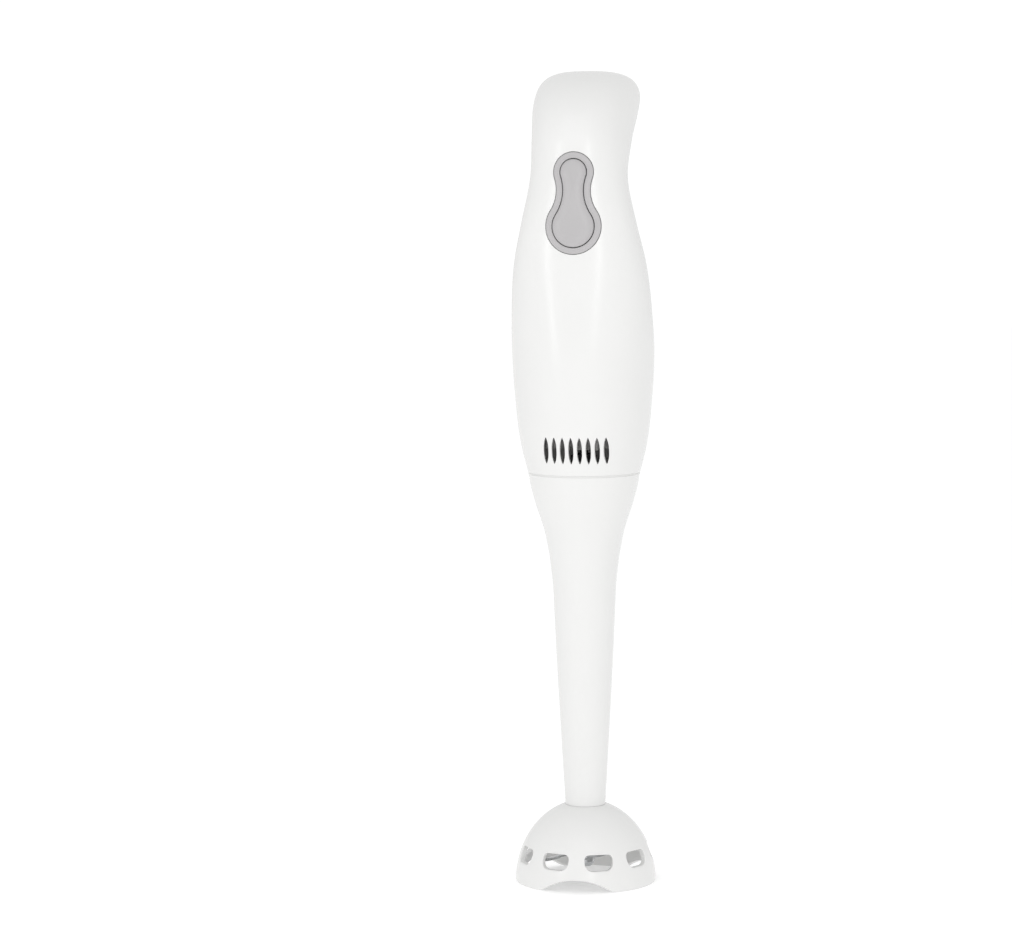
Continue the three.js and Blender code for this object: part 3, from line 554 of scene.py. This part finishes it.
def flared_cutter(outline, side, lip, depth):
    """A cutter whose hole has a rounded lip that follows the handle's front or rear surface."""
    rings = []
    for offset, height in [*lip_steps(lip, 1.5), (0, -depth)]:
        at = outline(-offset)
        y = surface_y(at[:, 0], at[:, 1], side) + side * height
        rings.append(np.stack([at[:, 0], y, at[:, 1]], axis=-1))
    return capped(rings)


# ---------------------------------------------------------------- handle shells

SCREWS = {"lower": (21, 292, 8), "upper": (13.3, 350.5, 10)}    # half spacing, height, seat
SIDES = {"left": -1, "right": 1}
BOSS_FACE_Y = 1
GLAND_Z = 368
GLAND_RADIUS = 5.4
GLAND_BORE = 3.4


def rod_along_y(radius, start, end, x, z, sides=40):
    half = 1e-3
    profile = [[half, start], [radius, start], [radius, end], [half, end]]
    rings = np.array([[[x + r * math.cos(a), y, z + r * math.sin(a)]
                       for a in np.arange(sides) * 2 * math.pi / sides] for r, y in profile])
    return capped(rings)


def parting_groove():
    """A thin curved blade along the line where the shells part, over the crown, with rounded lips."""
    heights = [HANDLE_LOW - 3, *np.linspace(HANDLE_LOW, FRONT_ROUND_Z, 70)]
    crown = FRONT_ROUND_Z + (TOP - FRONT_ROUND_Z) * np.sin(np.linspace(0, math.pi / 2, 46)[1:-1])
    right = []
    for z in [*heights, *crown]:
        half, _, _, widest, _ = handle_section(z)
        right.append([float(half), float(widest), z])
    right[0][0] = right[1][0]
    path = np.array(right + [[0, CROWN_Y, TOP]] + [[-x, y, z] for x, y, z in right[::-1]])
    tangents = np.gradient(path, axis=0)
    tangents /= np.linalg.norm(tangents, axis=1)[:, None]
    normals = np.empty_like(path)
    upright = path[:, 2] < TOP - 0.5
    normals[upright] = handle_normals(path[upright])
    normals[~upright] = [0, 0, 1]
    normals -= (normals * tangents).sum(axis=1)[:, None] * tangents
    normals /= np.linalg.norm(normals, axis=1)[:, None]
    across = np.cross(tangents, normals)
    edge = [(GAP / 2 + offset, height) for offset, height in lip_steps(LIP, 0.8)]
    edge.append((GAP / 2, -WALL - 1.1))
    profile = edge + [(-sideways, height) for sideways, height in edge[::-1]]
    offsets = np.array([[a * q + b * n for a, b in profile] for q, n in zip(across, normals)])
    return capped(path[:, None] + offsets)


def bosses():
    rods = []
    for x, z, _ in SCREWS.values():
        for side in SIDES.values():
            rods.append(rod_along_y(3.1, -40, BOSS_FACE_Y, side * x, z))
            rods.append(rod_along_y(4.4, BOSS_FACE_Y + GAP, 40, side * x, z))
    return rods


def screw_holes():
    cutters = []
    for x, z, seat in SCREWS.values():
        for side in SIDES.values():
            mouth = surface_y(side * x, z, 1)
            cutters.append(flared_cutter(circle_outline(side * x, z, 3.2), 1, 0.5, 3.5))
            cutters.append(rod_along_y(3.2, seat, float(mouth) - 3, side * x, z, 48))
            cutters.append(rod_along_y(1.5, -14, seat + 0.5, side * x, z))
    return cutters


def split_islands(piece, names):
    """Separates a mesh's two connected bodies, the front one first."""
    found = []
    work = bmesh.new()
    work.from_mesh(piece.data)
    unseen = set(work.verts)
    while unseen:
        seed = unseen.pop()
        island, queue = {seed}, [seed]
        while queue:
            for edge in queue.pop().link_edges:
                for vert in edge.verts:
                    if vert in unseen:
                        unseen.discard(vert)
                        island.add(vert)
                        queue.append(vert)
        found.append(sorted(vert.index for vert in island))
    work.free()
    found = sorted(found, key=len)[-2:]
    points = np.array([vert.co for vert in piece.data.vertices])
    found.sort(key=lambda island: points[island, 1].mean())
    made = []
    for name, island in zip(names, found):
        mesh = piece.data.copy()
        work = bmesh.new()
        work.from_mesh(mesh)
        work.verts.ensure_lookup_table()
        keep = set(island)
        bmesh.ops.delete(work, geom=[v for v in work.verts if v.index not in keep], context="VERTS")
        work.to_mesh(mesh)
        work.free()
        half = bpy.data.objects.new(name, mesh)
        scene.collection.objects.link(half)
        made.append(half)
    bpy.data.objects.remove(piece)
    return made


def true_normals(piece, normals_at):
    """Shades the faces that lie on the outside surface with that surface's own normals."""
    mesh = piece.data
    count = len(mesh.loops)
    points = np.zeros(len(mesh.vertices) * 3)
    mesh.vertices.foreach_get("co", points)
    points = points.reshape(-1, 3) / MM
    vertex = np.zeros(count, int)
    mesh.loops.foreach_get("vertex_index", vertex)
    faces = len(mesh.polygons)
    flat = np.zeros(faces * 3)
    mesh.polygons.foreach_get("normal", flat)
    total = np.zeros(faces, int)
    mesh.polygons.foreach_get("loop_total", total)
    face_normal = np.repeat(flat.reshape(-1, 3), total, axis=0)
    normals, outside = normals_at(points)
    chosen = normals[vertex]
    good = outside[vertex] & ((chosen * face_normal).sum(axis=1) > 0.97)
    custom = np.where(good[:, None], chosen, 0.0)
    mesh.normals_split_custom_set(custom.tolist())


def shell_shading(points):
    """Normals for the points on the handle's outside, and which points those are."""
    low = points[:, 2] > HANDLE_LOW + SEAM_LIP + 0.05
    near = low & (points[:, 2] < TOP - 1.5)
    near[near] = np.abs(handle_field(points[near]) - 1) < 0.0009
    normals = np.zeros_like(points)
    normals[near] = handle_normals(points[near])
    return normals, near


def make_shells():
    outside = to_object("outside", *handle_block(HANDLE_LOW, 0, 176, 104, 56, SEAM_LIP))
    inside = to_object("inside", *handle_block(HANDLE_LOW - 3, WALL, 64, 40, 16))
    shell = combine(outside, [inside], "DIFFERENCE")
    rods = to_object("rods", *together(bosses()))
    limit = to_object("limit", *handle_block(HANDLE_LOW, 1, 64, 40, 16))
    combine(rods, [limit], "INTERSECT")
    shell = combine(shell, [rods], "UNION")
    holes = [flared_cutter(lambda inset: lobed_outline(inset - 0.05), -1, 0.35, 8)]
    for i in range(VENTS):
        holes.append(flared_cutter(vent_outline((i - (VENTS - 1) / 2) * VENT_PITCH), -1, 0.3, 4))
    holes.append(flared_cutter(circle_outline(0, GLAND_Z, GLAND_RADIUS + GAP), 1, 0.45, 4.5))
    tools = [to_object("holes", *together(holes)), to_object("groove", *parting_groove())]
    tools += [to_object("screw_hole", *cutter) for cutter in screw_holes()]
    shell = combine(shell, tools, "DIFFERENCE")
    for half in split_islands(shell, ("handle_front", "handle_rear")):
        node = half.name.replace("handle_", "") + "_shell"
        dress(half, "white_plastic", "housing", node, crease=30)
        true_normals(half, shell_shading)


make_shells()

# ---------------------------------------------------------------- lower housing and its seal

# Heights and radii of the shaft tube's outside
LOWER_TUBE = np.array([
    [36.6, 9.4], [66, 11.1], [103, 13.1], [131, 14.4], [141, 14.9], [150, 15.9], [155, 16.5],
    [159.6, 17.4], [164.3, 18.3], [169, 19.6], [178.4, 22.7], [187, 25], [192.8, 26],
])


def lip_arc(radius, z, lip, turn_from, turn_to, steps=5):
    """Points of a rounded edge, about a centre one lip radius inside a corner."""
    angle = np.radians(np.linspace(turn_from, turn_to, steps + 1))
    return np.stack([radius + lip * np.cos(angle), z + lip * np.sin(angle)], axis=-1).tolist()


def make_lower_housing():
    low, high = GUARD_TOP + 0.05, LOWER_TUBE[-1, 0]
    foot_radius, rim_radius = LOWER_TUBE[0, 1], LOWER_TUBE[-1, 1]
    heights = np.linspace(low + SEAM_LIP, high - SEAM_LIP, 110)
    outside = [[float(along(LOWER_TUBE, 1, z)), z] for z in heights]
    profile = [
        *lip_arc(foot_radius - SEAM_LIP, low + SEAM_LIP, SEAM_LIP, -90, -12), *outside,
        *lip_arc(rim_radius - SEAM_LIP, high - SEAM_LIP, SEAM_LIP, 12, 90),
        [23.5, high], [23.5, 197.5], [23, 198], [21.5, 198], [21.5, 184], [17.3, 169], [15.2, 159.6],
        [13.7, 152], [5.2, 152], [5.2, 147], [12.9, 147], [10.8, 100], [8.5, 54], [7.4, 54], [7.4, low],
    ]
    piece = to_object("shaft_tube", *turned(profile, 176))
    dress(piece, "white_plastic", "housing", "lower_housing")


def make_seal():
    low, high = corners("housing_seal")
    outer, inner = high[0] + 0.45, 23.9
    bottom, top = low[2] - 0.12, high[2] + 0.17
    outline = [[inner, bottom], [outer, bottom], [outer, top], [inner, top]]
    profile = rounded(outline, [0, 0.08, 0.08, 0])
    dress(to_object("seam_seal", *turned(profile, 160)), "pale_plastic", "housing", "housing_seal")


make_lower_housing()
make_seal()

# ---------------------------------------------------------------- blade guard

GUARD_DOME = 38
GUARD_WALL = 2.4
NOTCHES = 3
NOTCH_DEPTH = 5.9
NOTCH_RADIUS = 27
WINDOWS = 9
WINDOW_Z = 13.7
WINDOW_WIDTH = 13.3
WINDOW_HEIGHT = 7.2
GUARD_RADIUS = 33
GUARD_SIDES = 360


def dome_radius(z, radius=GUARD_RADIUS, height=GUARD_DOME):
    return radius * np.sqrt(np.clip(1 - (np.asarray(z, float) / height) ** 2, 0, 1))


def rim_height(angle, radius):
    """The rim's height round the guard, with its notches and their softened shoulders."""
    soft = 1.6
    height = np.zeros_like(angle)
    for i in range(NOTCHES):
        across = radius * np.sin(angle - 2 * math.pi * i / NOTCHES)
        facing = np.cos(angle - 2 * math.pi * i / NOTCHES) > 0
        notch = NOTCH_DEPTH - NOTCH_RADIUS + np.sqrt(np.clip(NOTCH_RADIUS**2 - across**2, 0, None))
        blend = np.maximum(notch, 0) + np.clip(soft - np.abs(notch), 0, None) ** 2 / (4 * soft)
        height = np.maximum(height, np.where(facing, blend, 0))
    return height


def make_guard():
    """Rings run up the outside, over the boss, down the inside and round the lip to close."""
    angle = np.arange(GUARD_SIDES) * 2 * math.pi / GUARD_SIDES
    lip = 0.7
    inner_radius, inner_dome = GUARD_RADIUS - GUARD_WALL, GUARD_DOME - GUARD_WALL - 0.2
    outer_rim, inner_rim = rim_height(angle, GUARD_RADIUS), rim_height(angle, inner_radius)
    levels = []

    def level(radius, height):
        ones = np.ones(GUARD_SIDES)
        levels.append(np.stack([radius * ones * np.sin(angle), -radius * ones * np.cos(angle),
                                height * ones], axis=-1))

    for share in np.sin(np.linspace(0, math.pi / 2, 44)):
        z = (outer_rim + lip) * (1 - share) + (GUARD_TOP - SEAM_LIP) * share
        level(dome_radius(z), z)
    neck = float(dome_radius(GUARD_TOP - SEAM_LIP))
    for radius, z in lip_arc(neck - SEAM_LIP, GUARD_TOP - SEAM_LIP, SEAM_LIP, 25, 90)[1:]:
        level(radius, z)
    for radius, z in [(7.2, GUARD_TOP), (7.2, 51.6), (6.8, 52), (5.2, 52), (5.2, 31), (3.4, 31),
                      (3.4, 28.4), (5.6, 28.4), (5.6, 23.4), (5.9, 23), (7.2, 23), (7.6, 23.5)]:
        level(radius, z)
    boss_top = float(inner_dome * math.sqrt(1 - (9.2 / inner_radius) ** 2))
    level(7.6, boss_top - 1.6)
    level(7.9, boss_top - 0.6)
    for share in np.sin(np.linspace(math.pi / 2, 0, 40)):
        z = (inner_rim + lip) * (1 - share) + boss_top * share
        level(dome_radius(z, inner_radius, inner_dome), z)
    for turn in np.radians([200, 225, 250, 270]):
        z = inner_rim + lip + lip * math.sin(turn)
        level(dome_radius(inner_rim + lip, inner_radius, inner_dome) + lip + lip * math.cos(turn), z)
    for turn in np.radians([270, 290, 315, 340]):
        z = outer_rim + lip + lip * math.sin(turn)
        level(dome_radius(outer_rim + lip) - lip + lip * math.cos(turn), z)
    guard = to_object("blade_bell", *strips(levels, wrap_rings=True))
    combine(guard, [to_object("windows", *together(window_cutters()))], "DIFFERENCE")
    dress(guard, "white_plastic", "housing", "blade_guard", crease=32)
    true_normals(guard, guard_shading)


def window_outline(inset, steps=8):
    half, high, low = WINDOW_WIDTH / 2, WINDOW_Z + WINDOW_HEIGHT / 2, WINDOW_Z - WINDOW_HEIGHT / 2
    top, bottom = 2.4, 3.6
    quarter = math.pi / 2
    return np.vstack([
        arc((half - bottom, low + bottom), bottom - inset, -quarter, 0, steps),
        arc((half - top, high - top), top - inset, 0, quarter, steps),
        arc((top - half, high - top), top - inset, quarter, 2 * quarter, steps),
        arc((bottom - half, low + bottom), bottom - inset, 2 * quarter, 3 * quarter, steps),
    ])


def window_cutters():
    """Radial cutters with rounded lips on the outside of the dome."""
    cutters = []
    for i in range(WINDOWS):
        angle = 2 * math.pi * (i + 0.5) / WINDOWS
        rings = []
        for offset, height in [*lip_steps(0.5, 2), (0, -9)]:
            at = window_outline(-offset)
            reach = np.sqrt(dome_radius(at[:, 1]) ** 2 - at[:, 0] ** 2) + height
            rings.append(np.stack([
                reach * math.sin(angle) + at[:, 0] * math.cos(angle),
                -reach * math.cos(angle) + at[:, 0] * math.sin(angle), at[:, 1]], axis=-1))
        cutters.append(capped(rings))
    return cutters


def guard_shading(points):
    """Normals for the points on the dome's outside, and which points those are."""
    radius = np.hypot(points[:, 0], points[:, 1])
    outside = np.abs(radius - dome_radius(points[:, 2])) < 0.02
    outside &= points[:, 2] < GUARD_TOP - SEAM_LIP - 0.05
    normals = points / [GUARD_RADIUS**2, GUARD_RADIUS**2, GUARD_DOME**2]
    normals /= np.linalg.norm(normals, axis=1)[:, None]
    return normals, outside


make_guard()

# ---------------------------------------------------------------- rocker, bezel and gland


def lobed_rings(profile, steps=12):
    """Rings on the two-lobed outline, from steps of [inset, height above the handle's front]."""
    rings = []
    for inset, height in profile:
        at = lobed_outline(inset, steps)
        y = surface_y(at[:, 0], at[:, 1], -1) - height
        rings.append(np.stack([at[:, 0], y, at[:, 1]], axis=-1))
    return rings


def lobed_cap(inset, height, steps=12, columns=12):
    """Rows straight across the two-lobed outline, at a height above the handle's front."""
    outline = lobed_outline(inset, steps)
    right = outline[:len(outline) // 2 + 1]
    share = np.linspace(-1, 1, columns + 1)
    x = right[:, 0][:, None] * share
    z = right[:, 1][:, None] * np.ones_like(share)
    points = np.stack([x, surface_y(x, z, -1) - height, z], axis=-1).reshape(-1, 3)
    index = np.arange(len(points)).reshape(len(right), columns + 1)
    quads = np.stack([index[:-1, :-1], index[:-1, 1:], index[1:, 1:], index[1:, :-1]], axis=-1)
    return points, quads.reshape(-1, 4).tolist()


def make_bezel():
    profile = [
        [3, -2.6], [0.15, -2.6], [0.15, -0.2], [0.19, 0], [0.32, 0.13], [0.6, 0.2], [1.2, 0.23],
        [1.8, 0.25], [2.15, 0.33], [2.35, 0.42], [2.6, 0.46], [2.82, 0.4], [2.95, 0.22], [3, 0],
    ]
    points, faces = strips(lobed_rings(profile), wrap_rings=True)
    dress(to_object("rocker_bezel", points, faces), "grey_plastic", "housing", "button_bezel")


def make_rocker():
    """The crowned cap with the hub that turns on the pin and the two feet that press the plungers."""
    edge = BEZEL_WIDTH + ROCKER_GAP
    low, high = -2.2, 2.0
    profile = [
        [edge, low], [edge, 0.35], [edge + 0.06, 0.62], [edge + 0.24, 0.92], [edge + 0.55, 1.2],
        [edge + 1, 1.44], [edge + 1.6, 1.64], [edge + 2.3, 1.8], [edge + 3.1, 1.92], [edge + 3.9, high],
    ]
    cap = together([strips(lobed_rings(profile)), lobed_cap(edge + 3.9, high), lobed_cap(edge, low)])
    rocker = to_object("speed_rocker", *cap)
    back = corners("rocker_button")[1][1]
    pin_low, pin_high = corners("rocker_pin")
    pin = (pin_low + pin_high) / 2
    hub = [[[x, y, z] for x, z in ((3.2, pin[2] + 2.5), (-3.2, pin[2] + 2.5), (-3.2, pin[2] - 2.5),
            (3.2, pin[2] - 2.5))] for y in (pin[1] - 1.9, pin[1] + 3.1)]
    feet = [to_object("foot", *rod_along_y(1.8, pin[1] - 2.1, back, 0, z)) for z in FEET]
    combine(rocker, [to_object("hub", *capped(hub)), *feet], "UNION")
    bore = to_object("bore", *turned([[0.01, -8], [1.15, -8], [1.15, 8], [0.01, 8]], 40))
    bore.data.transform(Matrix.Translation(Vector(pin) * MM) @ Matrix.Rotation(math.pi / 2, 4, "Y"))
    combine(rocker, [bore], "DIFFERENCE")
    dress(rocker, "grey_plastic", "rocker", "rocker_button")


def make_gland():
    face = corners("cord_gland")[1][1]
    bore, outer = GLAND_BORE, GLAND_RADIUS
    profile = rounded([
        [bore, 20.8], [6.4, 20.8], [6.4, 22.8], [outer, 22.8], [outer, face - 1.5],
        [outer - 0.5, face - 1.2], [outer - 0.5, face - 0.9], [outer, face - 0.7], [outer, face],
        [bore, face],
    ], [0, 0.3, 0.3, 0, 0.15, 0, 0, 0.15, 0.35, 0.6])
    piece = to_object("cord_bush", *turned(profile, 96, (0, 0, GLAND_Z), "Y"))
    dress(piece, "grey_plastic", "housing", "cord_gland")


make_bezel()
make_rocker()
make_gland()

# ---------------------------------------------------------------- screws


def make_screw(row, word):
    x, z, seat = SCREWS[row]
    x *= SIDES[word]
    crown = seat + 2.2
    profile = [
        [0.01, seat - 22], [1.3, seat - 20.5], [1.3, seat + GAP], [2.5, seat + GAP], [2.7, seat + 0.4],
        [2.68, seat + 1], [2.4, seat + 1.6], [1.8, seat + 2.0], [1, crown - 0.05], [0.01, crown],
    ]
    name = f"shell_screw_{row}_{word}"
    screw = to_object(name + "_cross", *turned(profile, 40, (x, 0, z), "Y"))
    arms = []
    for wide, tall in ((1.5, 0.3), (0.3, 1.5)):
        rings = []
        for share, y in ((0.35, crown - 1.5), (1, crown + 0.3)):
            a, b = wide * (share if wide > tall else 1), tall * (share if tall > wide else 1)
            rings.append([[x + a, y, z + b], [x - a, y, z + b], [x - a, y, z - b], [x + a, y, z - b]])
        arms.append(to_object("arm", *capped(rings)))
    combine(screw, arms, "DIFFERENCE")
    dress(screw, "zinc", "housing", name)


for row in SCREWS:
    for word in SIDES:
        make_screw(row, word)

# ---------------------------------------------------------------- blade

BLADE_Z = 12.3
BLADE = np.array([                  # reach, leading edge, trailing edge, share of the bend
    [0, 5.5, -5.5, 0], [6.5, 5.5, -5.2, 0], [10, 5.45, -4, 0.18], [14, 5.2, -2.6, 0.55],
    [18, 4.4, -1.4, 0.82], [21.5, 3, -0.4, 1],
])


def make_blade():
    """Two wings bent opposite ways, each with a hollow-ground leading edge and a rounded tip."""
    rise, thick = 4, 0.6
    half_wings = []
    for flip in (1, -1):
        rings = []
        for reach in [*np.linspace(0, 21, 34), 21.25, 21.42, 21.5]:
            lead, trail, bend = (float(along(BLADE, column, reach)) for column in (1, 2, 3))
            tip = max(0.0, (reach - 20.5) / 1.0)
            lead -= 0.9 * tip**2
            trail += 0.5 * tip**2
            ground = np.clip((reach - 4.5) / 4, 0, 1)
            keen = thick * (1 - 0.86 * ground)
            width = 0.4 + 2.2 * ground
            section = [[trail, -thick * 0.8], [trail + 0.2, -thick], [lead - width, -thick],
                       [lead - width * 0.5, -(thick * 0.42 + keen * 0.58)], [lead, -keen], [lead, keen],
                       [lead - width * 0.5, thick * 0.42 + keen * 0.58], [lead - width, thick],
                       [trail + 0.2, thick], [trail, thick * 0.8]]
            z = BLADE_Z + flip * rise * bend
            rings.append([[flip * reach, flip * y, z + dz] for y, dz in section])
        half_wings.append(to_object("wing", *capped(rings)))
    blade = combine(half_wings[0], [half_wings[1]], "UNION")
    bore = to_object("bore", *turned([[0.01, 0], [2.65, 0], [2.65, 30], [0.01, 30]], 64))
    combine(blade, [bore], "DIFFERENCE")
    blade.name = "chopping_blade"
    dress(blade, "steel", "rotor", "blade", crease=20)


def make_blade_fittings():
    cap = rounded([
        [0.01, 6.6], [2.8, 6.6], [4.4, 8.6], [4.4, 11.5], [2.65, 11.5], [2.65, 8.3], [0.01, 8.3],
    ], [0, 0.8, 0.9, 0.3, 0, 0, 0])
    dress(to_object("blade_nut", *turned(cap, 72)), "steel", "rotor", "blade_cap")
    spacer = rounded([
        [2.65, 13.1], [5.2, 13.1], [5.2, 14.3], [4, 16], [4, 21.4], [2.65, 21.4],
    ], [0, 0.3, 0.4, 0.8, 0.3, 0])
    dress(to_object("blade_collar", *turned(spacer, 72)), "steel", "rotor", "blade_spacer")


make_blade()
make_blade_fittings()

# ---------------------------------------------------------------- CAD nodes that stay


def dress_cad_nodes():
    for part in frame["record"]["subparts"]:
        node = frame["nodes"][part["node"]]
        node.data.materials.clear()
        node.data.materials.append(MATERIALS[part["material_slot"]])


dress_cad_nodes()

# ---------------------------------------------------------------- floor, backdrop and light

ROOM = 6.0                          # metres from the object to the backdrop
SKY = 0.86                          # strength of the even light from all round


def stage_material(name, color, glow):
    material, _, shader = material_nodes(name)
    shader.inputs["Base Color"].default_value = (*color, 1)
    shader.inputs["Roughness"].default_value = 0.9
    shader.inputs["Specular IOR Level"].default_value = 0
    shader.inputs["Emission Color"].default_value = (1, 1, 1, 1)
    shader.inputs["Emission Strength"].default_value = glow
    return material


def make_floor():
    sides = 96
    angle = np.arange(sides) * 2 * math.pi / sides
    rings = [np.stack([r * np.cos(angle), r * np.sin(angle), np.zeros(sides)], axis=-1) / MM
             for r in (0.02, 0.5, 2, ROOM)]
    points, faces = strips(rings)
    points = np.vstack([points, [0, 0, 0]])
    faces += [[len(points) - 1, i, (i + 1) % sides] for i in range(sides)]
    floor = to_object("floor", points, faces)
    floor.location.z = cad_low.z
    floor.data.materials.append(stage_material("floor", (0.8, 0.8, 0.8), 0.33))


def make_backdrop():
    sides, levels = 96, 32
    angle = np.arange(sides) * 2 * math.pi / sides
    rings = []
    for rise in np.linspace(0, math.pi / 2 - 0.02, levels):
        r, z = ROOM * math.cos(rise), ROOM * math.sin(rise)
        rings.append(np.stack([r * np.cos(angle), r * np.sin(angle), np.full(sides, z)], axis=-1) / MM)
    points, faces = capped(rings)
    faces = faces[:-2 * sides] + faces[-sides:]
    dome = to_object("backdrop", points, faces)
    dome.location.z = cad_low.z - 0.001
    dome.data.materials.append(stage_material("backdrop", (0, 0, 0), 1.05))
    dome.visible_diffuse = False
    dome.visible_glossy = False
    dome.visible_transmission = False
    dome.visible_shadow = False


def area_light(name, azimuth, elevation, distance, size, power):
    """A rectangular soft light that faces the middle of the handle."""
    light = bpy.data.objects.new(name, bpy.data.lights.new(name, "AREA"))
    scene.collection.objects.link(light)
    light.data.shape = "RECTANGLE"
    light.data.size, light.data.size_y = size
    light.data.energy = power
    a, e = math.radians(azimuth), math.radians(elevation)
    away = Vector((math.sin(a) * math.cos(e), -math.cos(a) * math.cos(e), math.sin(e)))
    aim = Vector((0, 0, cad_low.z + 0.7 * OBJECT_HEIGHT))
    light.location = aim + away * distance
    light.rotation_euler = away.to_track_quat("Z", "Y").to_euler()
    return light


def make_world():
    world = bpy.data.worlds.new("studio")
    scene.world = world
    world.use_nodes = True
    shader = world.node_tree.nodes["Background"]
    shader.inputs["Color"].default_value = (1, 1, 1, 1)
    shader.inputs["Strength"].default_value = SKY


def make_studio():
    make_floor()
    make_backdrop()
    make_world()
    area_light("key", 0, 35, 1.7, (1.5, 1.5), 2.6)
    fill = area_light("fill", CAMERA_AZIMUTH, 2.8, 1.9, (0.12, 0.12), 2.5)
    fill.visible_glossy = False     # it lights what is seen through the slots, and leaves no highlight
    area_light("strip_left", -33, 4, 1.3, (0.05, 0.42), 0.8)
    area_light("strip_right", 17, 5, 1.9, (0.08, 0.55), 1.6)
    scene.view_settings.view_transform = "Standard"
    scene.view_settings.look = "None"
    scene.view_settings.exposure = 0
    scene.view_settings.gamma = 1


make_studio()
